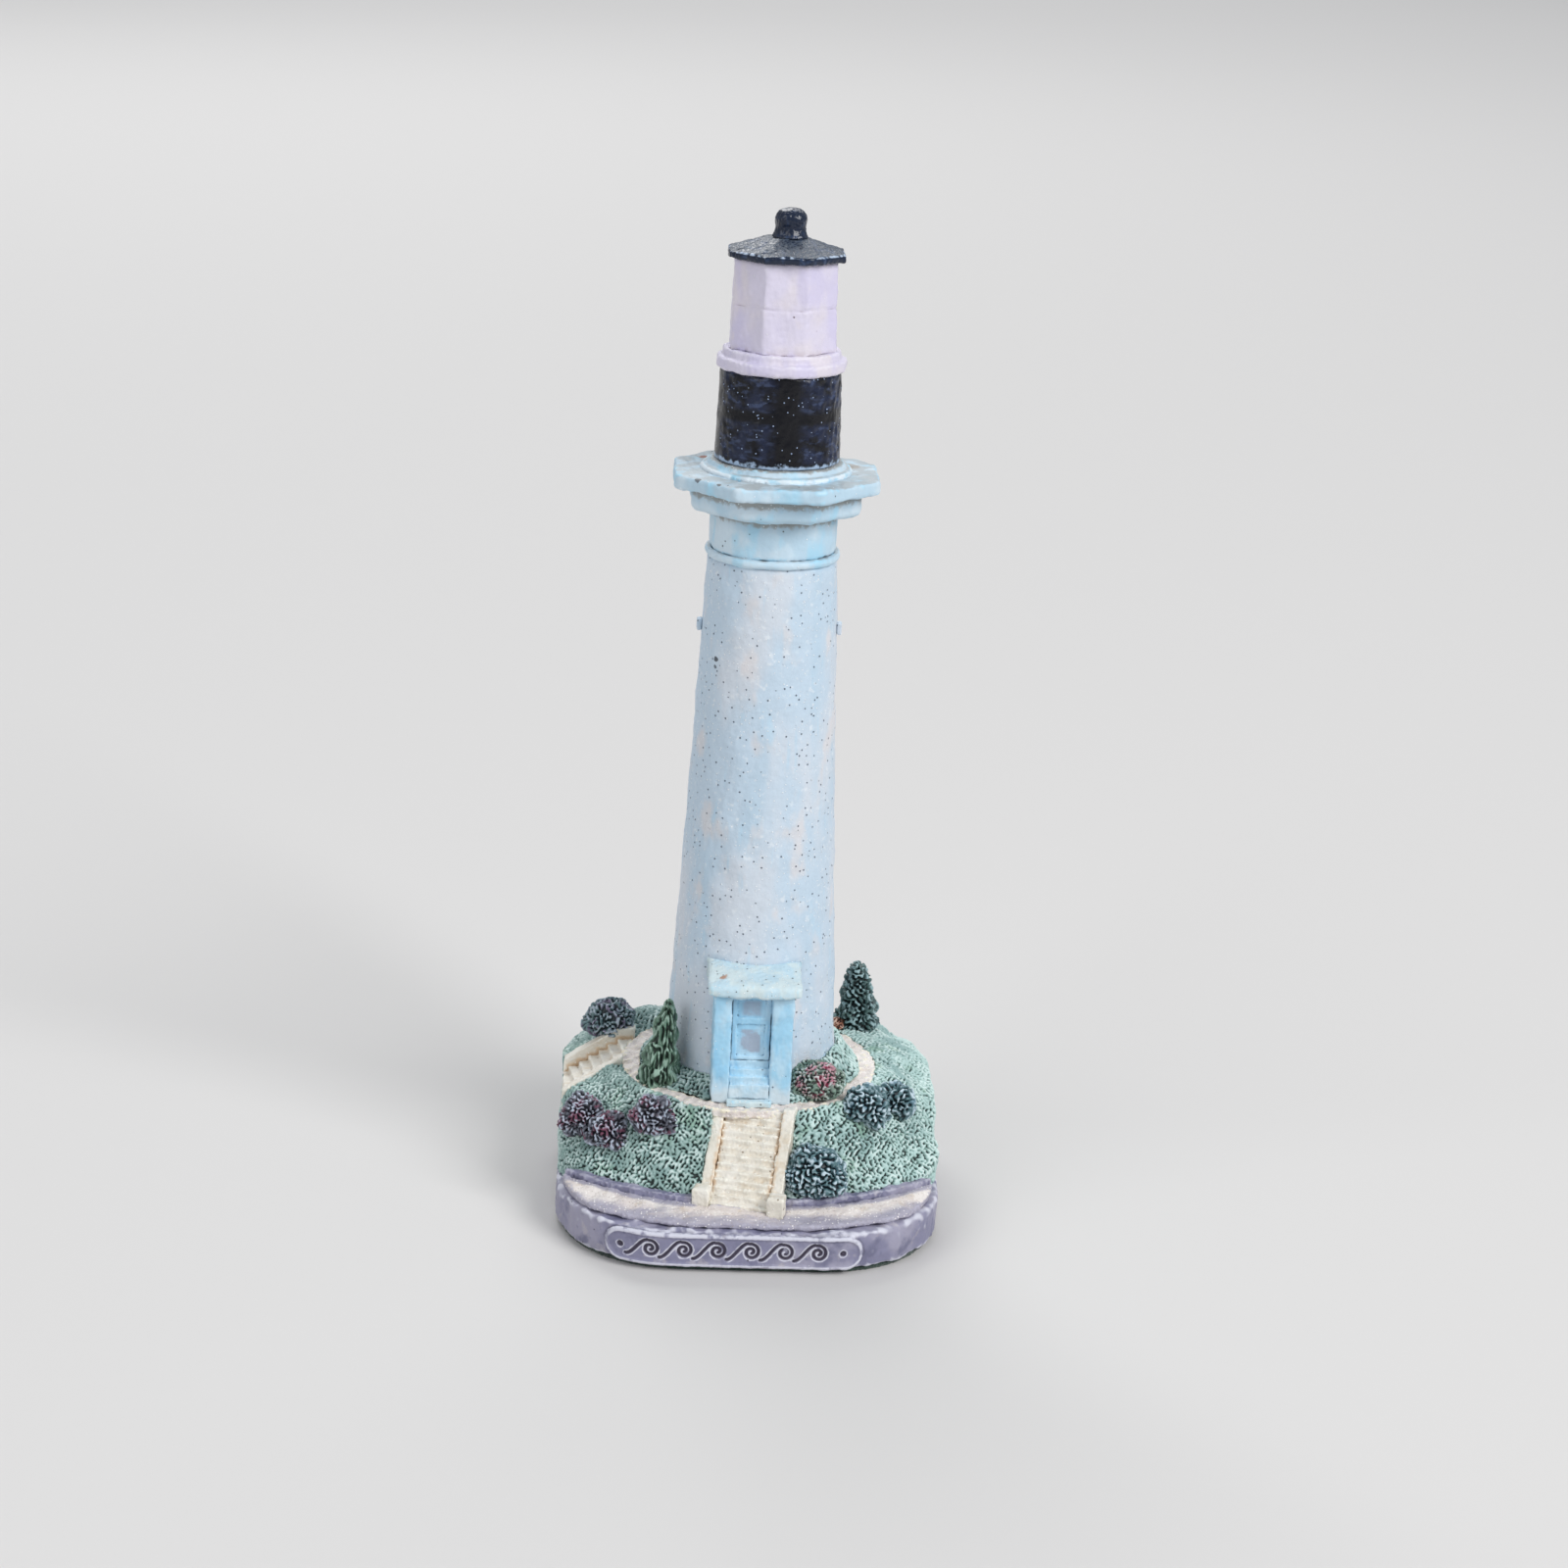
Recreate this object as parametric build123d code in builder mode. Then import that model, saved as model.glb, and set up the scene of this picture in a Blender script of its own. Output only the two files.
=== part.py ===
from build123d import *
import os
from math import cos, radians, sin

# Painted cast-resin lighthouse on a landscaped base, as an assembly of its sculpted parts.
# Millimetres, +Z up, front towards -Y, origin in the middle of the underside.

# ---------------------------------------------------------------- driving dimensions
total_height = 150.0
base_width = 57.4
base_depth = 60.0  # from the plaque's face to the back of the plinth
base_corner = 18.0
tower_setback = 32.0  # from the plinth's front to the tower's axis

pad_thickness = 0.8
pad_inset = 0.7
plinth_top = 6.4
plateau = 20.0  # level of the path round the tower

plinth_rounding = 0.5

plaque_proud = 0.5
plaque_length = 37.5
plaque_height = 5.0
plaque_centre = (-2.3, 3.55)  # across the front, and up

road_front = 7.2  # top of the road at the plinth's front, and at the kerb
road_back = 8.3
road_inset = 0.8
kerb_radius = 42.0  # the hill's front edge is one arc in plan
kerb_setback = 6.5  # from the plinth's front to that arc
kerb_width = 1.3
kerb_top = 9.0
hill_inset = 0.3
hill_corner = 8.0
bank_top_radius = 22.1  # the bank narrows from the kerb's arc to this circle at the plateau
bank_top_setback = 2.6  # behind the tower's axis

path_outer = 19.5
path_inner = 16.6
path_thickness = 1.2
mound_rise = 3.0
mound_lip = 0.4  # height of the mound's outer edge above the path
socket_depth = 2.0  # how far the shaft's foot stands in the hill

stair_turn = -14.0  # degrees, the flight turns to the left as it comes down
stair_head = (0.35, 18.6)  # across, and out from the tower's axis
stair_run = 8.8
stair_foot = 8.4
stair_count = 12
stair_width = 8.75
rail_width = 1.7
stair_lead = 3.0  # length of level top that the path then cuts back
stair_tongue = 1.2  # how far both flights run in under the path
rail_head = 20.6
rail_foot = 10.4
post_width = 2.5
post_reach = 8.4  # middle of the posts, down the flight
post_splay = (post_width - rail_width) / 2  # the post stands flush with the rail's inner side
post_top = 10.6
post_rounding = 0.45

side_turn = 10.0  # degrees, towards the front from straight left
side_centre = 3.4  # behind the tower's axis, where the flight leaves the path
side_run = 10.5
side_count = 7
side_rise = 0.84
side_width = 8.4
side_wall = 1.5
side_wall_head = 21.6
side_wall_foot = 15.6
side_floor = 12.0  # underside of the short flight, inside the hill

shaft_foot_radius = 13.2
shaft_middle = (10.92, 64.0)  # radius and height of the point half way up
shaft_top_radius = 9.55
shaft_top = 99.6
bead_height = 1.3
bead_radius = 9.93
bead_bore = 8.85
neck_radius = 9.25
corbel_bottom = 106.9
corbel_flats = 24.4
corbel_corner = 1.2  # rounding of its upright corners
corbel_rounding = 1.1  # rounding of its lower edge
deck_bottom = 110.4
deck_flats = 29.6
deck_top = 112.5
deck_corner = 0.8
deck_rounding = (0.5, 0.4)  # of its upper and of its lower edge
drum_plinth_foot = 10.5
drum_plinth_radius = 9.6
drum_plinth_rounding = 0.4
drum_bottom = 114.0
drum_bottom_radius = 9.1
drum_top = 127.2
drum_top_radius = 8.7
collar_radius = 9.35
collar_step = 129.0
collar_upper_radius = 8.5
collar_top = 130.2
collar_rounding = (0.45, 0.35)  # of its lower and of its upper tier
lantern_flats = (15.0, 14.5)  # at the foot and at the top
roof_bottom = 143.0
roof_flats = 16.5
roof_rim = 1.1
roof_rim_setback = 0.2  # the roof starts that far in from the rim
roof_top = 145.9
roof_top_flats = 5.4
finial_foot_radius = 2.65
finial_waist = (2.14, 147.4)  # radius and height
finial_knob = (2.26, 148.4)
finial_flare = (2.29, 146.65)  # a point of the curve from the foot to the waist
finial_crown = (1.72, 149.55)  # a point of the domed top

peg_radius = 4.5
peg_height = 1.5
low_peg_height = 1.0  # under the roof, which is thin
peg_gap = 0.05  # glue gap round and above a peg
small_peg_radius = 1.2

window_level = 89.0
window_size = 1.7
window_reach = 10.65  # outer face from the tower's axis
window_root = 8.5

door_front = 16.7  # out from the tower's axis
door_jambs = (-6.2, 5.6)
door_opening = (-3.5, 2.4)
door_head = 36.6
door_sill = 20.8
door_recess = 2.2
leaf_thickness = 0.7
leaf_bottom = 26.4
leaf_frame = 0.8  # width of the frame beside the panels
leaf_panels = ((34.6, 2.8), (29.6, 5.0))  # middle and height of the transom and of the lower panel
small_steps = 3  # inside the jambs
step_top = 23.1
threshold_width = 6.6
threshold_reach = 1.2  # how far the threshold stands out in front of the jambs
threshold_height = 0.9
threshold_rounding = 0.25
canopy_sides = (-7.4, 6.8)
canopy_front = 17.6
canopy_back = 8.5
canopy_underside = 37.3
canopy_edge = 1.4
canopy_slope = 15.0  # degrees
canopy_rounding = 0.7

# Round plants: across, out from the tower's axis to the back, height of the centre, radius.
shrubs = {
    "shrub_left_edge": (-25.0, -11.6, 15.2, 3.2),
    "shrub_left_front": (-21.2, -15.2, 14.6, 2.8),
    "shrub_left_inner": (-14.6, -17.0, 18.0, 2.9),
    "shrub_rear_left": (-21.5, 11.1, 22.0, 3.6),
    "shrub_right_inner": (17.2, -14.2, 19.2, 3.15),
    "shrub_right_edge": (22.2, -9.6, 18.4, 2.55),
    "shrub_right_front": (9.2, -22.4, 11.9, 4.45),
    "flower_bush": (9.4, -11.6, 22.8, 3.5),
    "flower_clump": (14.4, 14.8, 20.3, 1.2),
}
conifer_tip = (1.1, 1.7)  # radius of the blunt tip where it starts, and how far below the top
# Cones: across, out from the tower's axis to the back, foot, top, radius at the foot.
conifers = {
    "left_conifer": (-12.9, -9.2, 19.8, 33.3, 3.7),
    "rear_conifer": (17.3, 16.5, 19.0, 30.8, 3.3),
}

# ---------------------------------------------------------------- worked-out values
plinth_depth = base_depth - plaque_proud
plinth_y = plaque_proud / 2
plinth_front = plaque_proud - base_depth / 2
tower_y = plinth_front + tower_setback
kerb_centre_y = plinth_front + kerb_setback + kerb_radius
tower_axis = Axis((0, tower_y, 0), (0, 0, 1))

os.makedirs("parts", exist_ok=True)


def keep(piece, name):
    """Label a finished piece and write its STEP file."""
    piece.part.label = name
    export_step(piece.part, f"parts/{name}.step")


def level(z):
    """Horizontal plane through the tower's axis at height z."""
    return Plane((0, tower_y, z))


def facing_front(x, y):
    """Upright plane that looks to the front: its x is across and its y is up."""
    return Plane(origin=(x, y, 0), x_dir=(1, 0, 0), z_dir=(0, -1, 0))


def descending(x, y, angle):
    """Upright plane along a flight: its x goes down the flight and its y is up."""
    across = (sin(radians(angle)), -cos(radians(angle)), 0)
    normal = (-cos(radians(angle)), -sin(radians(angle)), 0)
    return Plane(origin=(x, y, 0), x_dir=across, z_dir=normal)


def base_plan(inset):
    """The plinth's rounded rectangle, drawn inset from its edge, in the open sketch."""
    with Locations((0, plinth_y)):
        RectangleRounded(base_width - 2 * inset, plinth_depth - 2 * inset, base_corner - inset)


def octagon(flats):
    """Eight-sided outline with one flat to the front, in the open sketch."""
    RegularPolygon(flats / 2, 8, major_radius=False, rotation=22.5)


def disc(z, radius):
    """Flat disc about the tower's axis at height z, for an extrusion."""
    with BuildSketch(level(z)) as round_plan:
        Circle(radius)
    return round_plan.sketch


def add_peg(z, height=peg_height):
    """Locating peg that stands on height z of the open part."""
    extrude(disc(z, peg_radius), amount=height)


def cut_socket(z, height=peg_height, radius=peg_radius):
    """Socket that takes a peg, cut upwards from height z of the open part."""
    extrude(disc(z, radius + peg_gap), amount=height + peg_gap, mode=Mode.SUBTRACT)


def clear_path():
    """Cut the open part back to the path, leaving a short tongue that runs in under the path's rim."""
    extrude(disc(0, path_outer - stair_tongue), amount=total_height, mode=Mode.SUBTRACT)
    extrude(disc(plateau - path_thickness, path_outer), amount=total_height, mode=Mode.SUBTRACT)


def trim_to_hill():
    """Trim the open part to the hill's outline."""
    with BuildSketch(Plane.XY) as hill_outline:
        base_plan(hill_inset)
    extrude(hill_outline.sketch, amount=total_height, mode=Mode.INTERSECT)


# ---------------------------------------------------------------- base
with BuildPart() as felt_pad:
    with BuildSketch(Plane.XY):
        base_plan(pad_inset)
    extrude(amount=pad_thickness)
keep(felt_pad, "felt_pad")

with BuildPart() as base_plinth:
    with BuildSketch(Plane.XY.offset(pad_thickness)):
        base_plan(0)
    extrude(amount=plinth_top - pad_thickness)
    fillet(base_plinth.faces().sort_by(Axis.Z)[-1].edges(), radius=plinth_rounding)
keep(base_plinth, "base_plinth")

# The plaque is the part of a thin skin on the plinth's front that a pill outline covers.
with BuildPart() as name_plaque:
    with BuildSketch(Plane.XY):
        base_plan(-plaque_proud)
    extrude(amount=plinth_top)
    with BuildSketch(Plane.XY):
        base_plan(0)
    extrude(amount=plinth_top, mode=Mode.SUBTRACT)
    with BuildSketch(facing_front(0, 0)):
        with Locations(plaque_centre):
            SlotOverall(plaque_length, plaque_height)
    extrude(amount=base_depth, mode=Mode.INTERSECT)
keep(name_plaque, "name_plaque")

# ---------------------------------------------------------------- front flight
stair_plane = descending(stair_head[0], tower_y - stair_head[1], stair_turn)
stair_rise = (plateau - stair_foot) / stair_count
stair_going = stair_run / stair_count

with BuildPart() as front_steps:
    with BuildSketch(stair_plane):
        with BuildLine():
            steps = [(-stair_lead, plinth_top), (-stair_lead, plateau)]
            for number in range(stair_count):
                tread = plateau - number * stair_rise
                steps += [(number * stair_going, tread), (number * stair_going, tread - stair_rise)]
            steps += [(stair_run, stair_foot), (stair_run, plinth_top)]
            Polyline(*steps, close=True)
        make_face()
    extrude(amount=stair_width / 2, both=True)
    clear_path()
keep(front_steps, "front_steps")

rail_middle = (stair_width + rail_width) / 2
front_rails = {}
front_posts = {}
for side, direction in (("left", 1), ("right", -1)):
    with BuildPart() as front_rail:
        with BuildSketch(stair_plane.offset(direction * rail_middle)):
            with BuildLine():
                Polyline(
                    (-stair_lead, plinth_top),
                    (-stair_lead, rail_head),
                    (0, rail_head),
                    (post_reach - post_width / 2, rail_foot),
                    (post_reach - post_width / 2, plinth_top),
                    close=True,
                )
            make_face()
        extrude(amount=rail_width / 2, both=True)
        clear_path()
    front_rails[side] = front_rail
    keep(front_rail, f"front_rail_{side}")

    with BuildPart() as front_post:
        with BuildSketch(stair_plane.offset(direction * (rail_middle + post_splay))):
            with Locations((post_reach, (plinth_top + post_top) / 2)):
                Rectangle(post_width, post_top - plinth_top)
        extrude(amount=post_width / 2, both=True)
        fillet(front_post.faces().sort_by(Axis.Z)[-1].edges(), radius=post_rounding)
    front_posts[side] = front_post
    keep(front_post, f"front_post_{side}")

flight_parts = [front_steps, *front_rails.values(), *front_posts.values()]

# The space that the flight and its rails take out of the hill and the kerb.
with BuildPart() as flight_gap:
    with BuildSketch(stair_plane):
        with Locations((-stair_lead, plinth_top)):
            Rectangle(stair_lead + stair_run + post_width / 2, plateau, align=(Align.MIN, Align.MIN))
    extrude(amount=rail_middle + rail_width / 2, both=True)
    clear_path()

# ---------------------------------------------------------------- road and kerb
with BuildPart() as road_strip:
    with BuildSketch(facing_front(0, kerb_centre_y)):
        with BuildLine():
            kerb_outside = kerb_radius + kerb_width
            road_edge = kerb_centre_y - plinth_front
            Polyline(
                (kerb_outside, plinth_top),
                (road_edge, plinth_top),
                (road_edge, road_front),
                (kerb_outside, road_back),
                close=True,
            )
        make_face()
    revolve(axis=Axis((0, kerb_centre_y, 0), (0, 0, 1)))
    with BuildSketch(Plane.XY.offset(plinth_top)) as road_outline:
        base_plan(road_inset)
        with Locations((0, kerb_centre_y)):
            Rectangle(base_width, 2 * kerb_radius, mode=Mode.SUBTRACT, align=(Align.CENTER, Align.MIN))
    extrude(amount=kerb_top, mode=Mode.INTERSECT)
    for piece in flight_parts:
        add(piece.part, mode=Mode.SUBTRACT)
keep(road_strip, "road_strip")

kerbs = []
for side, direction in (("left", -1), ("right", 1)):
    with BuildPart() as kerb:
        with BuildSketch(Plane.XY.offset(plinth_top)):
            base_plan(hill_inset)
            with Locations((0, kerb_centre_y)):
                Circle(kerb_radius + kerb_width, mode=Mode.INTERSECT)
                Circle(kerb_radius, mode=Mode.SUBTRACT)
            with Locations((direction * base_width / 2, plinth_front)):
                Rectangle(base_width, base_depth / 2, mode=Mode.INTERSECT)
        extrude(amount=kerb_top - plinth_top)
        for piece in (flight_gap, *front_posts.values()):
            add(piece.part, mode=Mode.SUBTRACT)
    kerbs.append(kerb)
    keep(kerb, f"kerb_{side}")

# ---------------------------------------------------------------- short flight on the left
side_plane = descending(-path_outer, tower_y + side_centre, side_turn - 90)
side_going = side_run / side_count

with BuildPart() as side_steps:
    with BuildSketch(side_plane):
        with BuildLine():
            steps = [(-stair_lead, side_floor), (-stair_lead, plateau)]
            for number in range(side_count):
                tread = plateau - number * side_rise
                steps += [(number * side_going, tread), (number * side_going, tread - side_rise)]
            steps += [(side_run, plateau - side_count * side_rise), (side_run, side_floor)]
            Polyline(*steps, close=True)
        make_face()
    extrude(amount=side_width / 2, both=True)
    clear_path()
    trim_to_hill()
keep(side_steps, "side_steps")

# The space that the short flight and its walls take out of the hill.
with BuildPart() as side_gap:
    with BuildSketch(side_plane):
        with Locations((-stair_lead, side_floor)):
            Rectangle(2 * side_run, plateau, align=(Align.MIN, Align.MIN))
    extrude(amount=side_width / 2 + side_wall, both=True)
    clear_path()

side_walls = {}
for side, direction in (("rear", 1), ("front", -1)):
    with BuildPart() as wall:
        with BuildSketch(side_plane.offset(direction * (side_width + side_wall) / 2)):
            with BuildLine():
                Polyline(
                    (-stair_lead, side_floor),
                    (-stair_lead, side_wall_head),
                    (0, side_wall_head),
                    (side_run, side_wall_foot),
                    (side_run, side_floor),
                    close=True,
                )
            make_face()
        extrude(amount=side_wall / 2, both=True)
        clear_path()
        trim_to_hill()
    side_walls[side] = wall
    keep(wall, f"side_wall_{side}")

# ---------------------------------------------------------------- tower shaft
with BuildPart() as tower_shaft:
    with BuildSketch(facing_front(0, tower_y)):
        with BuildLine():
            foot = (shaft_foot_radius, plateau - socket_depth)
            head = (shaft_top_radius, shaft_top)
            Spline(foot, shaft_middle, head)
            Polyline(head, (0, shaft_top), (0, plateau - socket_depth), foot)
        make_face()
    revolve(axis=tower_axis)
    with BuildSketch(level(shaft_top)):
        Circle(bead_bore)
    extrude(amount=bead_height)
    cut_socket(shaft_top + bead_height - peg_height)
keep(tower_shaft, "tower_shaft")

# The half-round ring is slipped over the spigot at the shaft's head.
with BuildPart() as shaft_bead:
    with BuildSketch(facing_front(0, tower_y)):
        with BuildLine():
            ThreePointArc(
                (neck_radius, shaft_top),
                (bead_radius, shaft_top + bead_height / 2),
                (neck_radius, shaft_top + bead_height),
            )
            Polyline(
                (neck_radius, shaft_top + bead_height),
                (bead_bore, shaft_top + bead_height),
                (bead_bore, shaft_top),
                (neck_radius, shaft_top),
            )
        make_face()
    revolve(axis=tower_axis)
keep(shaft_bead, "shaft_bead")

with BuildPart() as gallery_neck:
    with BuildSketch(level(shaft_top + bead_height)):
        Circle(neck_radius)
    extrude(amount=corbel_bottom - shaft_top - bead_height)
    with BuildSketch(level(shaft_top + bead_height)):
        Circle(peg_radius)
    extrude(amount=-(peg_height - peg_gap))
    add_peg(corbel_bottom)
keep(gallery_neck, "gallery_neck")

with BuildPart() as gallery_corbel:
    with BuildSketch(level(corbel_bottom)):
        octagon(corbel_flats)
    extrude(amount=deck_bottom - corbel_bottom)
    fillet(gallery_corbel.edges().filter_by(Axis.Z), radius=corbel_corner)
    fillet(gallery_corbel.faces().sort_by(Axis.Z)[0].edges(), radius=corbel_rounding)
    cut_socket(corbel_bottom)
    add_peg(deck_bottom)
keep(gallery_corbel, "gallery_corbel")

with BuildPart() as gallery_deck:
    with BuildSketch(level(deck_bottom)):
        octagon(deck_flats)
    extrude(amount=deck_top - deck_bottom)
    fillet(gallery_deck.edges().filter_by(Axis.Z), radius=deck_corner)
    fillet(gallery_deck.faces().sort_by(Axis.Z)[-1].edges(), radius=deck_rounding[0])
    fillet(gallery_deck.faces().sort_by(Axis.Z)[0].edges(), radius=deck_rounding[1])
    cut_socket(deck_bottom)
keep(gallery_deck, "gallery_deck")

with BuildPart() as drum_plinth:
    with BuildSketch(level(deck_top)):
        Circle(drum_plinth_foot)
    with BuildSketch(level(drum_bottom)):
        Circle(drum_plinth_radius)
    loft()
    fillet(drum_plinth.faces().sort_by(Axis.Z)[-1].edges(), radius=drum_plinth_rounding)
    add_peg(drum_bottom)
keep(drum_plinth, "drum_plinth")

with BuildPart() as watch_drum:
    with BuildSketch(level(drum_bottom)):
        Circle(drum_bottom_radius)
    with BuildSketch(level(drum_top)):
        Circle(drum_top_radius)
    loft()
    cut_socket(drum_bottom)
    add_peg(drum_top)
keep(watch_drum, "watch_drum")

with BuildPart() as lantern_collar:
    with BuildSketch(level(drum_top)):
        Circle(collar_radius)
    extrude(amount=collar_step - drum_top)
    fillet(lantern_collar.edges(), radius=collar_rounding[0])
    with BuildSketch(level(collar_step)):
        Circle(collar_upper_radius)
    extrude(amount=collar_top - collar_step)
    fillet(lantern_collar.faces().sort_by(Axis.Z)[-1].edges(), radius=collar_rounding[1])
    cut_socket(drum_top)
    add_peg(collar_top)
keep(lantern_collar, "lantern_collar")

with BuildPart() as lantern_room:
    with BuildSketch(level(collar_top)):
        octagon(lantern_flats[0])
    with BuildSketch(level(roof_bottom)):
        octagon(lantern_flats[1])
    loft(ruled=True)
    cut_socket(collar_top)
    add_peg(roof_bottom, low_peg_height)
keep(lantern_room, "lantern_room")

with BuildPart() as roof_cap:
    with BuildSketch(level(roof_bottom)):
        octagon(roof_flats)
    extrude(amount=roof_rim)
    with BuildSketch(level(roof_bottom + roof_rim)):
        octagon(roof_flats - 2 * roof_rim_setback)
    with BuildSketch(level(roof_top)):
        octagon(roof_top_flats)
    loft(ruled=True)
    cut_socket(roof_bottom, low_peg_height)
    cut_socket(roof_top - peg_height, radius=small_peg_radius)
keep(roof_cap, "roof_cap")

with BuildPart() as roof_finial:
    with BuildSketch(facing_front(0, tower_y)):
        peg_foot = roof_top - peg_height + peg_gap
        with BuildLine():
            foot = (finial_foot_radius, roof_top)
            Spline(foot, finial_flare, finial_waist)
            Line(finial_waist, finial_knob)
            Spline(
                finial_knob,
                finial_crown,
                (0, total_height),
                tangents=((0, 1), (-1, 0)),
            )
            Polyline(
                (0, total_height),
                (0, peg_foot),
                (small_peg_radius, peg_foot),
                (small_peg_radius, roof_top),
                foot,
            )
        make_face()
    revolve(axis=tower_axis)
keep(roof_finial, "roof_finial")

for side, direction in (("left", -1), ("right", 1)):
    with BuildPart() as side_window:
        middle = direction * (window_root + window_reach) / 2
        with BuildSketch(Plane((middle, tower_y, window_level - window_size / 2))):
            Rectangle(window_reach - window_root, window_size)
        extrude(amount=window_size)
        add(tower_shaft.part, mode=Mode.SUBTRACT)
    keep(side_window, f"side_window_{side}")

# ---------------------------------------------------------------- door
def across(limits):
    """Middle and width of a pair of side limits."""
    return (limits[0] + limits[1]) / 2, limits[1] - limits[0]


jamb_middle, jamb_width = across(door_jambs)
opening_middle, opening_width = across(door_opening)
canopy_middle, canopy_width = across(canopy_sides)
recess_back = door_front - door_recess

with BuildPart() as door_surround:
    with BuildSketch(Plane((jamb_middle, tower_y - door_front, plateau))):
        Rectangle(jamb_width, door_front - canopy_back, align=(Align.CENTER, Align.MIN))
    extrude(amount=canopy_underside - plateau)
    with BuildSketch(Plane((opening_middle, tower_y - door_front, door_sill))):
        Rectangle(opening_width, door_recess, align=(Align.CENTER, Align.MIN))
    extrude(amount=door_head - door_sill, mode=Mode.SUBTRACT)
    add(tower_shaft.part, mode=Mode.SUBTRACT)
keep(door_surround, "door_surround")

with BuildPart() as door_leaf:
    with BuildSketch(Plane((opening_middle, tower_y - recess_back, leaf_bottom))):
        Rectangle(opening_width, leaf_thickness, align=(Align.CENTER, Align.MAX))
    extrude(amount=door_head - leaf_bottom)
    # Two sunk panels: the transom above and the door panel below.
    with BuildSketch(facing_front(opening_middle, tower_y - recess_back - leaf_thickness)):
        for panel_middle, panel_height in leaf_panels:
            with Locations((0, panel_middle)):
                Rectangle(opening_width - 2 * leaf_frame, panel_height)
    extrude(amount=-leaf_thickness / 2, mode=Mode.SUBTRACT)
keep(door_leaf, "door_leaf")

# Steps inside the jambs, drawn from the side: out from the axis is -Y.
with BuildPart() as door_steps:
    step_depth = door_recess - leaf_thickness
    with BuildSketch(descending(opening_middle, tower_y - recess_back, 0)):
        with BuildLine():
            small_rise = (leaf_bottom - step_top) / small_steps
            small_going = step_depth / small_steps
            outline = [(0, door_sill), (0, leaf_bottom), (leaf_thickness, leaf_bottom)]
            for number in range(1, small_steps + 1):
                reach = leaf_thickness + (number - 1) * small_going
                outline += [(reach, leaf_bottom - number * small_rise)]
                outline += [(reach + small_going, leaf_bottom - number * small_rise)]
            outline += [(door_recess, door_sill)]
            Polyline(*outline, close=True)
        make_face()
    extrude(amount=opening_width / 2, both=True)
keep(door_steps, "door_steps")

# The threshold lies on the path against the foot of the surround.
with BuildPart() as door_threshold:
    with BuildSketch(Plane((opening_middle, tower_y - door_front, plateau))):
        Rectangle(threshold_width, threshold_reach, align=(Align.CENTER, Align.MAX))
    extrude(amount=threshold_height)
    fillet(door_threshold.faces().sort_by(Axis.Z)[-1].edges().sort_by(Axis.Y)[0], radius=threshold_rounding)
keep(door_threshold, "door_threshold")

with BuildPart() as door_canopy:
    slope_rise = (canopy_front - canopy_back) * sin(radians(canopy_slope))
    with BuildSketch(descending(canopy_middle, tower_y - canopy_back, 0)):
        with BuildLine():
            reach = canopy_front - canopy_back
            Polyline(
                (0, canopy_underside),
                (reach, canopy_underside),
                (reach, canopy_underside + canopy_edge),
                (0, canopy_underside + canopy_edge + slope_rise),
                close=True,
            )
        make_face()
    extrude(amount=canopy_width / 2, both=True)
    front_edges = door_canopy.faces().sort_by(Axis.Y)[0].edges()
    fillet(front_edges.sort_by(Axis.Z)[-1], radius=canopy_rounding)
    add(tower_shaft.part, mode=Mode.SUBTRACT)
keep(door_canopy, "door_canopy")

# ---------------------------------------------------------------- hill, path and mound
with BuildPart() as ring_path:
    with BuildSketch(level(plateau - path_thickness)):
        Circle(path_outer)
        Circle(path_inner, mode=Mode.SUBTRACT)
    extrude(amount=path_thickness)
keep(ring_path, "ring_path")

with BuildPart() as tower_mound:
    with BuildSketch(facing_front(0, tower_y)):
        with BuildLine():
            Polyline(
                (shaft_foot_radius - 1, plateau),
                (path_inner, plateau),
                (path_inner, plateau + mound_lip),
                (shaft_foot_radius - 1, plateau + mound_rise),
                close=True,
            )
        make_face()
    revolve(axis=tower_axis)
    add(tower_shaft.part, mode=Mode.SUBTRACT)
    with BuildSketch(Plane((jamb_middle, tower_y - path_outer, plateau))):
        Rectangle(jamb_width, path_outer, align=(Align.CENTER, Align.MIN))
    extrude(amount=mound_rise, mode=Mode.SUBTRACT)
keep(tower_mound, "tower_mound")

with BuildPart() as grass_hill:
    with BuildSketch(Plane((0, kerb_centre_y, kerb_top))):
        Circle(kerb_radius)
    with BuildSketch(level(plateau)):
        with Locations((0, bank_top_setback)):
            Circle(bank_top_radius)
    loft()
    with BuildSketch(Plane((0, kerb_centre_y, plinth_top))):
        Circle(kerb_radius)
    extrude(amount=kerb_top - plinth_top)
    with BuildSketch(Plane.XY.offset(plinth_top)) as hill_plan:
        with Locations((0, plinth_y)):
            Rectangle(base_width - 2 * hill_inset, plinth_depth - 2 * hill_inset)
        with Locations((0, kerb_centre_y)):
            Circle(kerb_radius, mode=Mode.INTERSECT)
        fillet(hill_plan.vertices().group_by(Axis.Y)[-1], radius=base_corner - hill_inset)
        fillet(hill_plan.vertices().group_by(Axis.Y)[0], radius=hill_corner)
    extrude(amount=plateau - plinth_top, mode=Mode.INTERSECT)
    for piece in (flight_gap, *front_posts.values(), side_gap, ring_path, tower_shaft):
        add(piece.part, mode=Mode.SUBTRACT)
keep(grass_hill, "grass_hill")

# ---------------------------------------------------------------- planting
ground = [grass_hill, tower_mound, ring_path, tower_shaft, door_surround, *kerbs, *flight_parts]
ground += [*side_walls.values()]


def stand_on_ground():
    """Cut the open plant back to everything that it grows out of or leans on, older plants among it."""
    for piece in ground:
        add(piece.part, mode=Mode.SUBTRACT)


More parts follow.
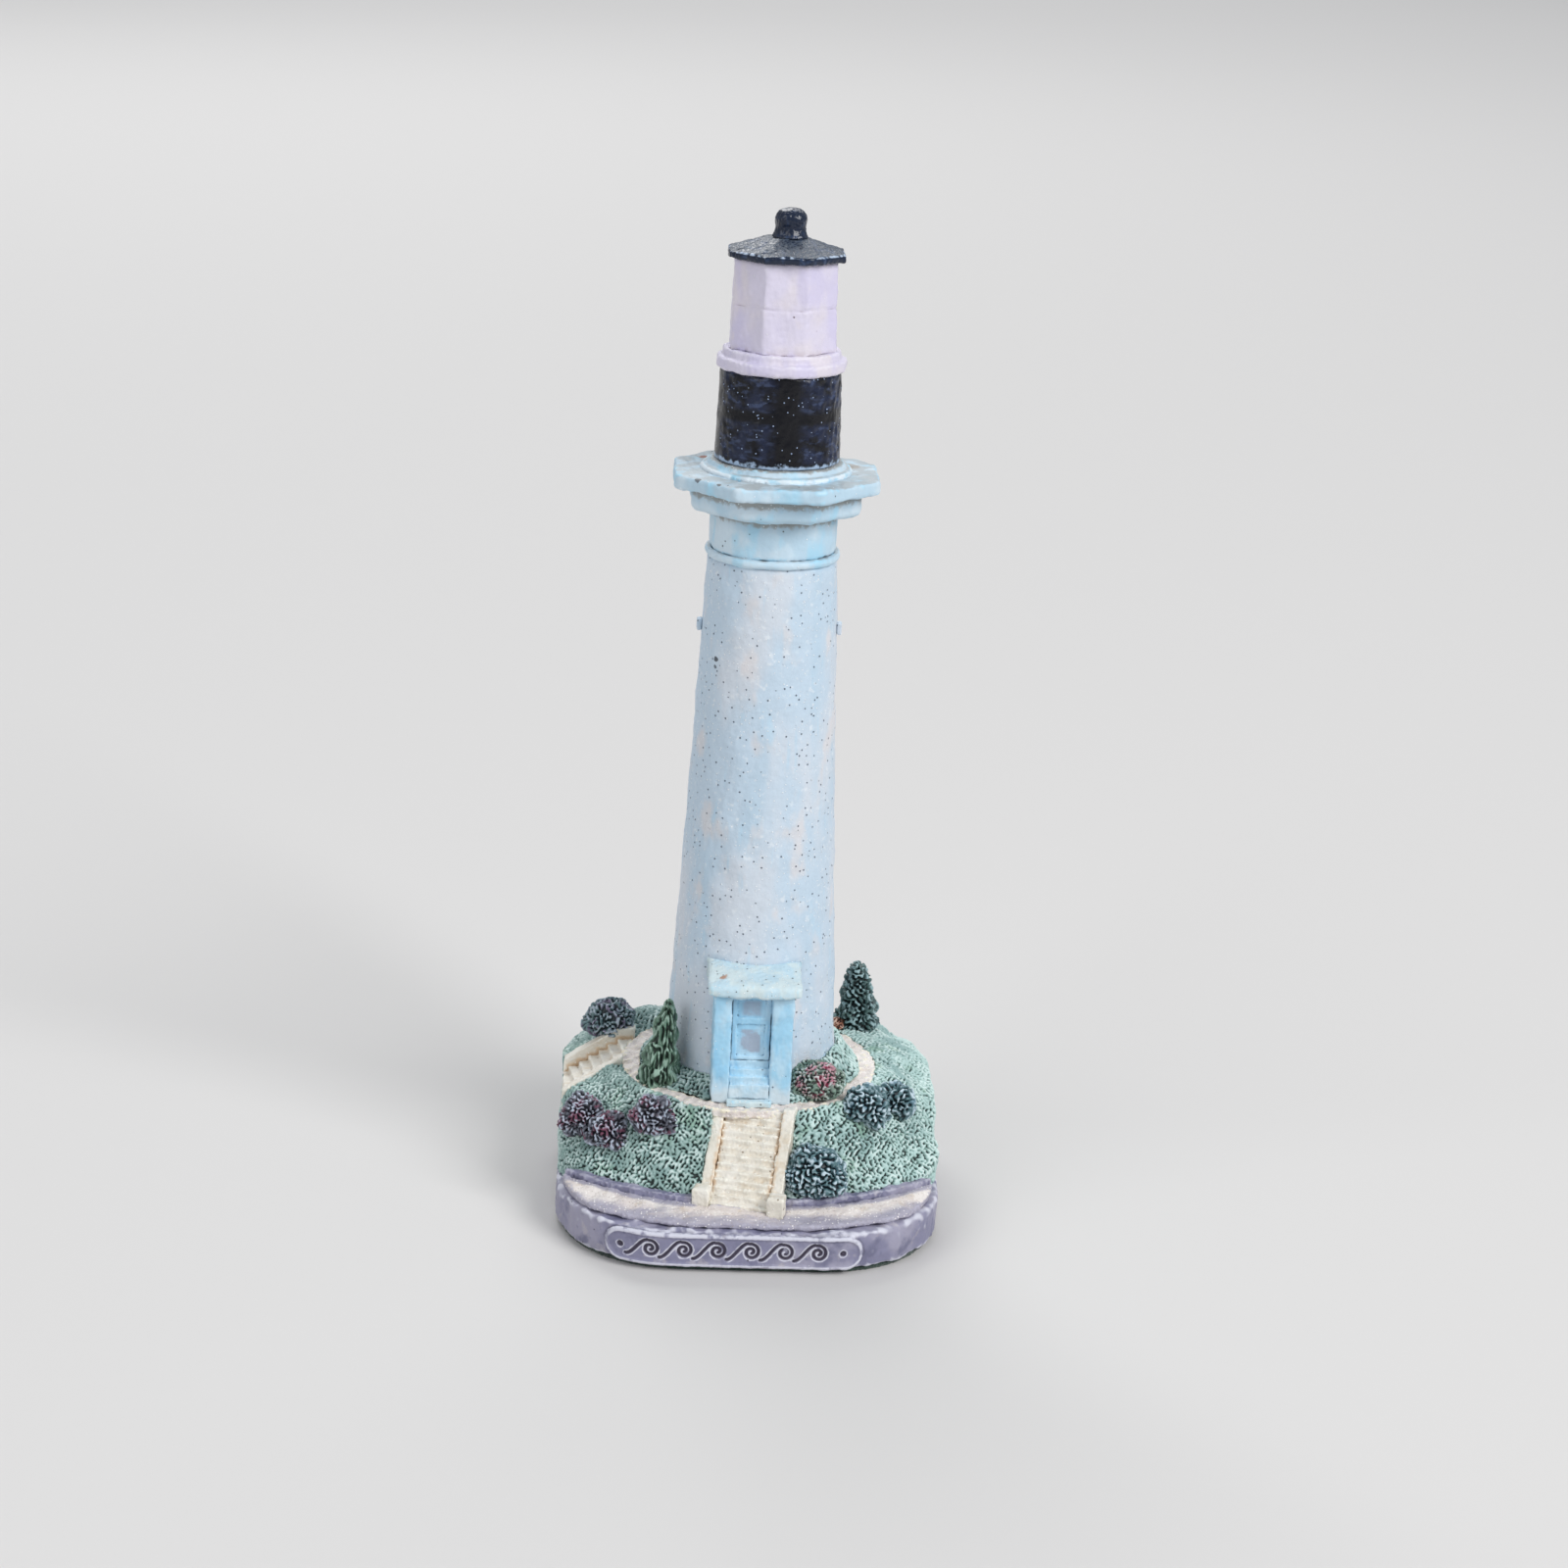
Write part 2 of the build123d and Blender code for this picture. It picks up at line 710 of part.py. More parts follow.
for name, (x, out, foot, top, radius) in conifers.items():
    with BuildPart() as conifer:
        with BuildSketch(facing_front(x, tower_y + out)):
            with BuildLine():
                shoulder = (conifer_tip[0], top - conifer_tip[1])
                side = (shoulder[0] - radius, shoulder[1] - foot)
                Line((radius, foot), shoulder)
                Spline(shoulder, (0, top), tangents=(side, (-1, 0)))
                Polyline((0, top), (0, foot), (radius, foot))
            make_face()
        revolve(axis=Axis((x, tower_y + out, 0), (0, 0, 1)))
        stand_on_ground()
    ground.append(conifer)
    keep(conifer, name)

for name, (x, out, z, radius) in shrubs.items():
    with BuildPart() as shrub:
        with Locations((x, tower_y + out, z)):
            Sphere(radius)
        stand_on_ground()
    ground.append(shrub)
    keep(shrub, name)
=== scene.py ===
"""Looks of a hand-painted cast lighthouse figurine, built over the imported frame.

Every piece is an evenly meshed copy of its CAD node with softened edges, relief and paint, or a lumpy
plant grown where its CAD node stands. Sizes are in millimetres until a piece is placed in the frame.
"""
from math import cos, pi, radians, sin, sqrt

import bmesh
import bpy
import numpy as np
from mathutils import Matrix, Vector
from mathutils.bvhtree import BVHTree


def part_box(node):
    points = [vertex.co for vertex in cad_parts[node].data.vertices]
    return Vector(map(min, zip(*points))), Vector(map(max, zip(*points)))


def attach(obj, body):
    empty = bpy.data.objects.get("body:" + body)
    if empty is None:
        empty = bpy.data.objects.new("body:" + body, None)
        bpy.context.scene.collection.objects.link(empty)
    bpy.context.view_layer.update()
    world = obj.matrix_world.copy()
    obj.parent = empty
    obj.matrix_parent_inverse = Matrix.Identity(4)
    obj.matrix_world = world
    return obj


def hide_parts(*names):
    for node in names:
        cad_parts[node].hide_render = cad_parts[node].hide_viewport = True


MM = 0.001  # one millimetre in the frame's metres

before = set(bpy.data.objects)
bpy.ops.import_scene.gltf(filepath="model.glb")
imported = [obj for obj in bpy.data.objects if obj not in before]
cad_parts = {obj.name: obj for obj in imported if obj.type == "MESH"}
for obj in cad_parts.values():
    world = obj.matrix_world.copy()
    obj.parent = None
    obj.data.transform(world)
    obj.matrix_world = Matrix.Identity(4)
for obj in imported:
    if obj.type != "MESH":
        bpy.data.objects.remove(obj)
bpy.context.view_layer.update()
scene = bpy.context.scene


# ---------------------------------------------------------------- places taken from the frame
def node_box(node):
    """Lowest and highest corner of a CAD node, in millimetres."""
    low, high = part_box(node)
    return np.array(low) / MM, np.array(high) / MM


shaft_low, shaft_high = node_box("tower_shaft")
AXIS = (shaft_low + shaft_high)[:2] / 2  # the tower's axis in plan
PLATEAU = node_box("ring_path")[1][2]
PATH_OUTER = node_box("ring_path")[1][0]
DECK_TOP = node_box("gallery_deck")[1][2]
DRUM_LOW, DRUM_HIGH = (corner[2] for corner in node_box("watch_drum"))
LANTERN_LOW, LANTERN_HIGH = (corner[2] for corner in node_box("lantern_room"))
EAVE = node_box("roof_cap")[0][2] + 1.1  # the top of the roof's rim
SHADE_REACH = 0.9  # how far the painted shade between two pieces spreads from their joint


# ---------------------------------------------------------------- meshes
def remeshed(raw, voxel):
    """A closed mesh rebuilt from even quads."""
    holder = bpy.data.objects.new("holder", raw)
    scene.collection.objects.link(holder)
    remesh = holder.modifiers.new("even", "REMESH")
    remesh.mode = "VOXEL"
    remesh.voxel_size = voxel
    graph = bpy.context.evaluated_depsgraph_get()
    mesh = bpy.data.meshes.new_from_object(holder.evaluated_get(graph))
    bpy.data.objects.remove(holder)
    return mesh


def even_mesh(node, voxel):
    """Evenly meshed copy of a CAD node, in millimetres."""
    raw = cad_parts[node].data.copy()
    raw.transform(Matrix.Scale(1 / MM, 4))
    return remeshed(raw, voxel)


def read(collection, field, width, kind=float):
    """One field of every item of a mesh collection, as an array of rows."""
    values = np.empty(len(collection) * width, dtype=kind)
    collection.foreach_get(field, values)
    return values.reshape(-1, width)


def points_of(mesh):
    """Vertex positions."""
    return read(mesh.vertices, "co", 3)


def normals_of(mesh):
    """Vertex normals."""
    mesh.update()
    return read(mesh.vertex_normals, "vector", 3)


def write_points(mesh, points):
    """Move the vertices."""
    mesh.vertices.foreach_set("co", points.ravel())
    mesh.update()


def spread(values, edges, turns):
    """Blur rows of vertex values over the mesh's edges."""
    count = np.bincount(edges.ravel(), minlength=len(values))[:, None]
    for _ in range(turns):
        total = np.empty_like(values)
        for column in range(values.shape[1]):
            there = np.bincount(edges[:, 0], values[edges[:, 1], column], len(values))
            back = np.bincount(edges[:, 1], values[edges[:, 0], column], len(values))
            total[:, column] = there + back
        values = 0.5 * values + 0.5 * total / count
    return values


def soften(mesh, turns):
    """Round the edges off, as a rubber mould does."""
    edges = read(mesh.edges, "vertices", 2, int)
    write_points(mesh, spread(points_of(mesh), edges, turns))


def push(mesh, heights):
    """Move every vertex along its normal."""
    write_points(mesh, points_of(mesh) + normals_of(mesh) * heights[:, None])


def store(mesh, name, values):
    """Keep one number per vertex for the material."""
    layer = mesh.attributes.new(name, "FLOAT", "POINT")
    layer.data.foreach_set("value", np.asarray(values, dtype=np.float32))


def mark_edges(mesh, turns, full):
    """Store how far each vertex stands proud of its surroundings: 1 on a ridge, -1 in a groove."""
    edges = read(mesh.edges, "vertices", 2, int)
    points = points_of(mesh)
    proud = ((points - spread(points, edges, turns)) * normals_of(mesh)).sum(axis=1)
    store(mesh, "edge", np.clip(proud / full, -1, 1))


# ---------------------------------------------------------------- relief patterns
def waves(points, pitch, seed, stretch=(1, 1, 1), count=28):
    """Smooth random field whose bumps are about one pitch apart, with a mean of 0 and a spread of 1."""
    rng = np.random.default_rng(seed)
    turns = rng.normal(size=(count, 3))
    turns /= np.linalg.norm(turns, axis=1, keepdims=True)
    turns *= 2 * pi / (pitch * rng.uniform(0.8, 1.25, (count, 1)))
    phases = rng.uniform(0, 2 * pi, count)
    return np.cos((points / np.array(stretch)) @ turns.T + phases).sum(axis=1) * sqrt(2 / count)


def step(values, low, high):
    """Smooth step from 0 at low to 1 at high."""
    part = np.clip((values - low) / (high - low), 0, 1)
    return part * part * (3 - 2 * part)


def nearness(points, nodes, reach):
    """How near each point is to the surface of other CAD nodes: 1 where it touches, 0 from reach on."""
    nearest = np.full(len(points), float(reach))
    for node in nodes:
        low, high = node_box(node)
        close = np.flatnonzero(((points > low - reach) & (points < high + reach)).all(axis=1))
        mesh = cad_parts[node].data
        corners = [vertex.co / MM for vertex in mesh.vertices]
        tree = BVHTree.FromPolygons(corners, [tuple(face.vertices) for face in mesh.polygons])
        for index in close:
            gap = tree.find_nearest(points[index], nearest[index])[3]
            if gap is not None:
                nearest[index] = gap
    return 1 - nearest / reach


def covered(points, nodes, reach):
    """1 where one of the CAD nodes lies on the surface: a ray straight up meets it within reach."""
    under = np.zeros(len(points))
    for node in nodes:
        low, high = node_box(node)
        close = np.flatnonzero(((points > low - reach) & (points < high + reach)).all(axis=1))
        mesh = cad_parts[node].data
        corners = [vertex.co / MM for vertex in mesh.vertices]
        tree = BVHTree.FromPolygons(corners, [tuple(face.vertices) for face in mesh.polygons])
        for index in close:
            if tree.ray_cast(points[index] - np.array((0, 0, reach / 2)), (0, 0, 1), reach)[0] is not None:
                under[index] = 1
    return under


# ---------------------------------------------------------------- pieces
def place(mesh, name, material, slot, *nodes):
    """Put a finished mesh in the frame in place of its CAD nodes."""
    mesh.transform(Matrix.Scale(MM, 4))
    mesh.polygons.foreach_set("use_smooth", [True] * len(mesh.polygons))
    mesh.materials.clear()
    mesh.materials.append(material)
    piece = bpy.data.objects.new(name, mesh)
    scene.collection.objects.link(piece)
    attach(piece, "root")
    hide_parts(*nodes)
    return piece


def cast(node, material, slot, voxel=0.25, rounding=4, lumps=0.05, pitch=5.0, near=(), shape=None, **more):
    """A CAD node as it comes out of the mould: softened, slightly uneven, its ridges and its nearness to
    other pieces marked.
    """
    mesh = even_mesh(node, voxel)
    soften(mesh, rounding)
    points = points_of(mesh)
    joint = nearness(points, near, more.get("reach", SHADE_REACH))
    heights = lumps * waves(points, pitch, 1) + 0.35 * lumps * waves(points, pitch / 4, 51)
    if shape is not None:
        heights = heights + shape(mesh, points)
    write_points(mesh, points + np.array(more.get("offset", (0, 0, 0))))
    push(mesh, heights)
    mark_edges(mesh, 10, 0.9 * voxel)
    store(mesh, "near", joint)
    return place(mesh, node + "_cast", material, slot, node)


# ---------------------------------------------------------------- paint
def rgb(red, green, blue):
    """Linear colour of a paint from its screen levels."""
    return tuple(((level / 255 + 0.055) / 1.055) ** 2.4 for level in (red, green, blue)) + (1.0,)


class Paint:
    """Layers of paint on one material, from the undercoat up. Patterns are sized in millimetres."""

    def __init__(self, name, undercoat, roughness):
        self.material = bpy.data.materials.new(name)
        self.material.use_nodes = True
        self.tree = self.material.node_tree
        self.shader = self.tree.nodes["Principled BSDF"]
        self.shader.inputs["Roughness"].default_value = roughness
        self.colour = undercoat
        self.normal = None
        self.where = self.node("TexCoord", {}).outputs["Object"]

    def node(self, kind, inputs, **settings):
        """Add a node, with values or sockets for its inputs."""
        made = self.tree.nodes.new("ShaderNode" + kind)
        for name, value in settings.items():
            setattr(made, name, value)
        for key, value in inputs.items():
            if isinstance(value, bpy.types.NodeSocket):
                self.tree.links.new(value, made.inputs[key])
            else:
                made.inputs[key].default_value = value
        return made

    def space(self, stretch, seed):
        """Position in millimetres, stretched, and moved by a seed."""
        scale = [1 / (MM * factor) for factor in stretch]
        shift = (seed * 37.1, seed * -21.7, seed * 11.3)
        inputs = {0: self.where, 1: scale, 2: shift}
        return self.node("VectorMath", inputs, operation="MULTIPLY_ADD").outputs[0]

    def grain(self, size, seed=0, detail=3, stretch=(1, 1, 1), distortion=0.0):
        """Soft random pattern from 0 to 1 with features of about that size."""
        inputs = {"Vector": self.space(stretch, seed), "Scale": 0.5 / size, "Detail": detail}
        inputs["Distortion"] = distortion
        return self.node("TexNoise", inputs).outputs["Fac"]

    def math(self, operation, first, second=0.0):
        """One arithmetic node."""
        return self.node("Math", {0: first, 1: second}, operation=operation).outputs[0]

    def ramp(self, value, low, high):
        """Smooth step of a value from 0 at low to 1 at high."""
        inputs = {"Value": value, "From Min": low, "From Max": high}
        return self.node("MapRange", inputs, interpolation_type="SMOOTHSTEP").outputs["Result"]

    def dots(self, spacing, radius, share, seed=0):
        """Round dots in a share of the cells of that spacing."""
        inputs = {"Vector": self.space((1, 1, 1), seed), "Scale": 1 / spacing}
        cells = self.node("TexVoronoi", inputs)
        inside = self.ramp(cells.outputs["Distance"], radius / spacing, 0.6 * radius / spacing)
        pick = self.node("SeparateColor", {0: cells.outputs["Color"]}).outputs[0]
        return self.math("MULTIPLY", inside, self.math("LESS_THAN", pick, share))

    def near_point(self, centre, radius, seed=0, ragged=0.6):
        """1 inside a ragged spot round a point of the frame."""
        to_centre = self.node("VectorMath", {0: self.space((1, 1, 1), 0), 1: centre}, operation="DISTANCE")
        away = self.torn(to_centre.outputs["Value"], ragged * 2 * radius, 0.5 * radius, seed, detail=4)
        return self.ramp(away, radius * (1.1 + ragged), radius * (0.8 + ragged))

    def axis(self, index):
        """Position along one axis, in millimetres."""
        return self.node("SeparateXYZ", {0: self.space((1, 1, 1), 0)}).outputs[index]

    def facing_up(self, low, high):
        """1 where the surface looks up."""
        normal = self.node("NewGeometry", {}).outputs["Normal"]
        return self.ramp(self.node("SeparateXYZ", {0: normal}).outputs[2], low, high)

    def both(self, first, second):
        """Where two masks overlap."""
        return self.math("MULTIPLY", first, second)

    def attribute(self, name):
        """A number stored on the mesh."""
        return self.node("Attribute", {}, attribute_name=name).outputs["Fac"]

    def patches(self, size, seed, low, high, **more):
        """1 in random patches, where the grain of that size is above high."""
        return self.ramp(self.grain(size, seed, **more), low, high)

    def marked(self, name, low, high):
        """1 where a number stored on the mesh is beyond high."""
        return self.ramp(self.attribute(name), low, high)

    def torn(self, value, weight, size, seed, **more):
        """A value with grain added, so that its contours come out ragged."""
        return self.math("ADD", value, self.math("MULTIPLY", self.grain(size, seed, **more), weight))

    def layer(self, colour, mask, strength=1.0):
        """Brush a colour over what is there, where the mask is 1."""
        if strength != 1.0:
            mask = self.math("MULTIPLY", mask, strength)
        mixer = self.node("Mix", {0: mask}, data_type="RGBA")
        for socket, value in ((mixer.inputs[6], self.colour), (mixer.inputs[7], colour)):
            if isinstance(value, bpy.types.NodeSocket):
                self.tree.links.new(value, socket)
            else:
                socket.default_value = value
        self.colour = mixer.outputs[2]

    def relief(self, height, depth):
        """Fine relief of that depth, on top of the relief so far."""
        inputs = {"Height": height, "Distance": depth * MM, "Strength": 1.0}
        if self.normal is not None:
            inputs["Normal"] = self.normal
        self.normal = self.node("Bump", inputs).outputs[0]

    def rough(self, pattern, low, high):
        """Roughness that follows a pattern from 0 to 1."""
        inputs = {"Value": pattern, "To Min": low, "To Max": high}
        result = self.node("MapRange", inputs).outputs["Result"]
        self.tree.links.new(result, self.shader.inputs["Roughness"])

    def finish(self):
        """Connect the paint to the shader."""
        self.tree.links.new(self.colour, self.shader.inputs["Base Color"])
        if self.normal is not None:
            self.tree.links.new(self.normal, self.shader.inputs["Normal"])
        return self.material


def pits_and_specks(paint, pit_colour, speck_colour, pits=0.35, specks=0.3, spacing=1.7):
    """Air-bubble pinholes and tiny raised specks, as cheap cast resin has."""
    holes = paint.dots(spacing, 0.17, pits, seed=3)
    raised = paint.dots(0.65 * spacing, 0.13, specks, seed=4)
    paint.layer(pit_colour, holes, 0.85)
    paint.layer(speck_colour, raised, 0.8)
    paint.relief(holes, -0.10)
    paint.relief(raised, 0.05)


def shaft_blue_paint():
    """Milky pale blue with faint pink-white clouds and sky-blue streaks, full of pinholes."""
    paint = Paint("shaft_blue_paint", rgb(189, 207, 222), 0.55)
    paint.layer(rgb(207, 213, 221), paint.patches(5, 1, 0.42, 0.60, stretch=(1, 1, 2.5)), 0.8)
    paint.layer(rgb(176, 202, 220), paint.patches(3, 2, 0.53, 0.70, stretch=(1, 1, 5)), 0.45)
    paint.layer(rgb(164, 208, 232), paint.patches(0.9, 5, 0.60, 0.72, stretch=(1, 1, 6)), 0.3)
    paint.layer(rgb(221, 212, 209), paint.patches(2.0, 8, 0.54, 0.70, stretch=(1, 1, 2)), 0.55)
    paint.layer(rgb(228, 233, 237), paint.patches(0.5, 13, 0.58, 0.72, detail=4), 0.5)
    # Painted shade: darker blue near where the door surround, canopy and bead meet the shaft.
    shade_near_parts = paint.both(paint.marked("near", 0.1, 0.75), paint.patches(0.8, 10, 0.30, 0.55, detail=4))
    paint.layer(rgb(158, 184, 202), shade_near_parts, 0.3)
    pits_and_specks(paint, rgb(62, 74, 90), rgb(244, 248, 250), pits=0.75, specks=0.6, spacing=1.0)
    paint.layer(rgb(52, 58, 66), paint.near_point((-7.7, -3.8, 85.4), 0.40, 25), 0.9)
    paint.layer(rgb(60, 66, 74), paint.near_point((-7.8, -3.7, 84.2), 0.32, 26), 0.8)
    paint.relief(paint.grain(0.30, 6, detail=4), 0.08)
    paint.rough(paint.grain(2.5, 7), 0.44, 0.70)
    return paint.finish()


def gallery_blue_paint():
    """Ice blue with white rubbed edges, a sand-grey painted shade under the slabs, and a grey wash on the
    deck.
    """
    paint = Paint("gallery_blue_paint", rgb(180, 206, 222), 0.55)
    paint.layer(rgb(204, 220, 230), paint.patches(3.5, 1, 0.44, 0.60), 0.8)
    paint.layer(rgb(156, 208, 232), paint.patches(1.8, 5, 0.52, 0.68, stretch=(1, 1, 2)), 0.6)
    dusty = paint.both(paint.facing_up(0.75, 0.97), paint.patches(1.6, 9, 0.34, 0.56, detail=4))
    paint.layer(rgb(164, 168, 168), dusty, 0.7)
    # Painted shade: sand-grey under the deck and round the corbel and neck, with pale and dark grain in it.
    deck_shade = paint.ramp(paint.torn(paint.attribute("near"), 1.1, 0.5, 10, detail=5), 0.72, 1.15)
    paint.layer(rgb(150, 149, 144), deck_shade, 0.85)
    paint.layer(rgb(232, 238, 240), paint.both(deck_shade, paint.dots(0.42, 0.13, 0.4, seed=14)), 0.8)
    paint.layer(rgb(112, 108, 102), paint.both(deck_shade, paint.dots(0.5, 0.12, 0.3, seed=15)), 0.6)
    rubbed = paint.marked("edge", 0.25, 0.85)
    sky_edge = paint.both(paint.marked("edge", 0.15, 0.5), paint.patches(1.4, 12, 0.46, 0.56))
    paint.layer(rgb(150, 214, 240), sky_edge, 0.6)
    paint.layer(rgb(228, 238, 244), paint.both(rubbed, paint.patches(1.2, 11, 0.36, 0.52)), 0.9)
    pits_and_specks(paint, rgb(84, 92, 98), rgb(242, 246, 250), pits=0.3, specks=0.4)
    paint.layer(rgb(134, 70, 44), paint.near_point((-10.3, 9.0, DECK_TOP), 1.0, 21), 0.95)
    paint.layer(rgb(70, 64, 62), paint.near_point((-11.5, -6.5, DECK_TOP), 0.55, 22), 0.8)
    paint.layer(rgb(78, 66, 58), paint.near_point((-8.6, -9.4, DECK_TOP), 0.4, 23), 0.8)
    paint.layer(rgb(150, 128, 104), paint.near_point((11.0, 6.0, DECK_TOP), 1.6, 24), 0.5)
    paint.relief(paint.grain(0.30, 6, detail=4), 0.09)
    paint.rough(paint.grain(2.5, 7), 0.44, 0.70)
    return paint.finish()


def gloss_navy_paint():
    """Thick glossy navy, nearly black, with grey-blue painted reflections in four panels and bright dust
    specks.
    """
    paint = Paint("gloss_navy_paint", rgb(5, 6, 14), 0.25)
    # Painted reflection: grey-blue patches and fine streaks in the four panels stand for light reflected by
    # the uneven gloss.
    brushed = paint.both(paint.attribute("panel"), paint.patches(1.1, 1, 0.34, 0.60, detail=6))
    paint.layer(rgb(30, 38, 62), brushed, 0.9)
    streaks = paint.patches(0.35, 2, 0.50, 0.68, detail=4, stretch=(2.2, 2.2, 1))
    paint.layer(rgb(78, 92, 126), paint.both(paint.attribute("panel"), streaks), 0.45)
    specks = paint.dots(0.70, 0.13, 0.40, seed=3)
    paint.layer(rgb(170, 188, 220), specks, 0.9)
    ragged = paint.torn(paint.axis(2), -2.2, 0.5, 5, detail=4)
    paint.layer(rgb(170, 192, 218), paint.ramp(ragged, DRUM_LOW - 0.30, DRUM_LOW - 0.80), 0.95)
    paint.relief(paint.grain(0.6, 6, detail=4), 0.10)
    paint.relief(specks, 0.06)
    paint.rough(paint.grain(0.9, 7, detail=4), 0.16, 0.42)
    paint.shader.inputs["Specular IOR Level"].default_value = 0.32
    return paint.finish()


def roof_slate_paint():
    """Dark slate blue, granular grey dust on the roof's slopes, one bright worn line on the eave."""
    paint = Paint("roof_slate_paint", rgb(26, 36, 56), 0.3)
    dusty = paint.both(paint.facing_up(0.75, 0.92), paint.patches(0.16, 1, 0.34, 0.62, detail=6))
    dusty = paint.both(dusty, paint.ramp(paint.axis(2), EAVE + 4.0, EAVE + 3.2))
    paint.layer(rgb(92, 102, 114), dusty, 0.8)
    paint.layer(rgb(58, 80, 116), paint.patches(0.7, 2, 0.52, 0.72, detail=4), 0.55)
    eave = paint.ramp(paint.math("ABSOLUTE", paint.math("SUBTRACT", paint.axis(2), EAVE)), 0.26, 0.10)
    worn = paint.both(paint.both(eave, paint.marked("edge", 0.20, 0.50)), paint.patches(1.5, 3, 0.40, 0.48))
    paint.layer(rgb(190, 206, 228), worn, 0.9)
    paint.layer(rgb(10, 14, 24), paint.marked("edge", -0.1, -0.6), 0.8)
    paint.relief(paint.grain(0.25, 4, detail=4), 0.07)
    paint.rough(dusty, 0.20, 0.60)
    paint.shader.inputs["Specular IOR Level"].default_value = 0.4
    return paint.finish()


def pale_pink_paint():
    """Milky pink-lavender with cream undertones and tiny dark pinholes."""
    paint = Paint("pale_pink_paint", rgb(212, 206, 224), 0.5)
    paint.layer(rgb(220, 212, 218), paint.patches(4, 1, 0.45, 0.62), 0.7)
    paint.layer(rgb(202, 196, 224), paint.patches(3, 2, 0.5, 0.66, stretch=(1, 1, 2)), 0.7)
    paint.layer(rgb(226, 214, 206), paint.patches(1.6, 8, 0.58, 0.7, stretch=(1, 1, 2)), 0.5)
    # Painted shade: greyer near where the lantern meets its collar and the collar meets the drum.
    shade_near_parts = paint.both(paint.attribute("near"), paint.patches(0.5, 10, 0.40, 0.60, detail=4))
    paint.layer(rgb(186, 174, 176), shade_near_parts, 0.5)
    paint.layer(rgb(238, 235, 241), paint.marked("edge", 0.2, 0.8), 0.8)
    paint.layer(rgb(160, 146, 156), paint.marked("edge", -0.25, -0.8), 0.6)
    pits_and_specks(paint, rgb(110, 94, 98), rgb(242, 240, 246), pits=0.22, specks=0.2)
    paint.relief(paint.grain(0.30, 6, detail=4), 0.06)
    paint.rough(paint.grain(2.5, 7), 0.4, 0.62)
    return paint.finish()


def door_blue_paint(name, lines):
    """Clear sky blue, rubbed pale low down, with navy lines of painted shade along the seams between pieces
    and lilac-grey panels.
    """
    paint = Paint(name, rgb(158, 206, 232), 0.5)
    paint.layer(rgb(188, 217, 233), paint.patches(1.6, 1, 0.44, 0.62, detail=4, stretch=(1, 1, 2)), 0.7)
    paint.layer(rgb(136, 194, 228), paint.patches(1.0, 2, 0.54, 0.7, stretch=(1, 1, 3)), 0.6)
    lilac = paint.both(paint.attribute("panel"), paint.patches(0.9, 8, 0.30, 0.5))
    paint.layer(rgb(160, 168, 184), lilac, 0.85)
    foot = paint.torn(paint.axis(2), -5.0, 1.2, 9)
    paint.layer(rgb(208, 219, 224), paint.ramp(foot, PLATEAU + 2.0, PLATEAU - 1.2), 0.85)
    paint.layer(rgb(208, 230, 242), paint.marked("edge", 0.25, 0.85), 0.7)
    # Painted shade: navy lines where the door leaf, surround, steps and canopy meet one another.
    joint_shade = paint.both(paint.marked("near", 0.72, 0.92), paint.patches(1.4, 10, 0.36, 0.5))
    paint.layer(rgb(44, 66, 88), joint_shade, 0.9 * lines)
    paint.layer(rgb(70, 104, 130), paint.marked("edge", -0.2, -0.75), 0.85 * lines)
    pits_and_specks(paint, rgb(84, 104, 126), rgb(226, 238, 246), pits=0.3, specks=0.35)
    paint.relief(paint.grain(0.35, 6, detail=4), 0.06)
    return paint.finish()


def canopy_paint():
    """Ice white with faint cream mottling, sky-blue rubbed edges, a navy line of painted shade below and a
    brown chip.
    """
    paint = Paint("canopy_paint", rgb(190, 215, 226), 0.55)
    paint.layer(rgb(210, 222, 221), paint.patches(1.3, 1, 0.40, 0.60, detail=4), 0.7)
    paint.layer(rgb(182, 212, 226), paint.patches(1.8, 2, 0.58, 0.72), 0.45)
    sky_edge = paint.both(paint.marked("edge", 0.2, 0.6), paint.patches(1.5, 3, 0.46, 0.56))
    paint.layer(rgb(150, 212, 236), sky_edge, 0.6)
    paint.layer(rgb(232, 239, 241), paint.marked("edge", 0.40, 0.95), 0.6)
    # Painted shade: a navy line where the canopy meets the door surround.
    joint_shade = paint.both(paint.marked("near", 0.70, 0.95), paint.patches(1.4, 10, 0.36, 0.5))
    paint.layer(rgb(60, 84, 104), joint_shade, 0.85)
    paint.layer(rgb(172, 120, 86), paint.near_point((-5.0, -13.0, 40.6), 1.2, 31), 0.85)
    pits_and_specks(paint, rgb(116, 122, 122), rgb(242, 246, 246), pits=0.45, specks=0.6, spacing=0.9)
    paint.relief(paint.grain(0.35, 6, detail=4), 0.07)
    return paint.finish()


def cream_paint():
    """Cream with orange-brown painted shade in the corners where pieces meet, and pale rubbed edges."""
    paint = Paint("cream_paint", rgb(224, 218, 205), 0.6)
    paint.layer(rgb(233, 229, 220), paint.patches(2.2, 1, 0.42, 0.60), 0.8)
    paint.layer(rgb(210, 194, 170), paint.patches(0.8, 2, 0.52, 0.70, detail=5, stretch=(2.5, 1, 1)), 0.6)
    # Painted shade: orange-brown in the corners where the steps meet their walls and rails.
    corner_shade = paint.torn(paint.attribute("near"), 0.9, 0.9, 3, detail=5)
    paint.layer(rgb(204, 170, 130), paint.ramp(corner_shade, 0.72, 1.35), 0.7)
    paint.layer(rgb(186, 158, 126), paint.marked("edge", -0.2, -0.9), 0.45)
    paint.layer(rgb(243, 240, 228), paint.marked("edge", 0.2, 0.7), 0.85)
    pits_and_specks(paint, rgb(138, 118, 94), rgb(248, 246, 240), pits=0.3, specks=0.5, spacing=1.0)
    paint.relief(paint.grain(0.22, 6, detail=4), 0.09)
    return paint.finish()


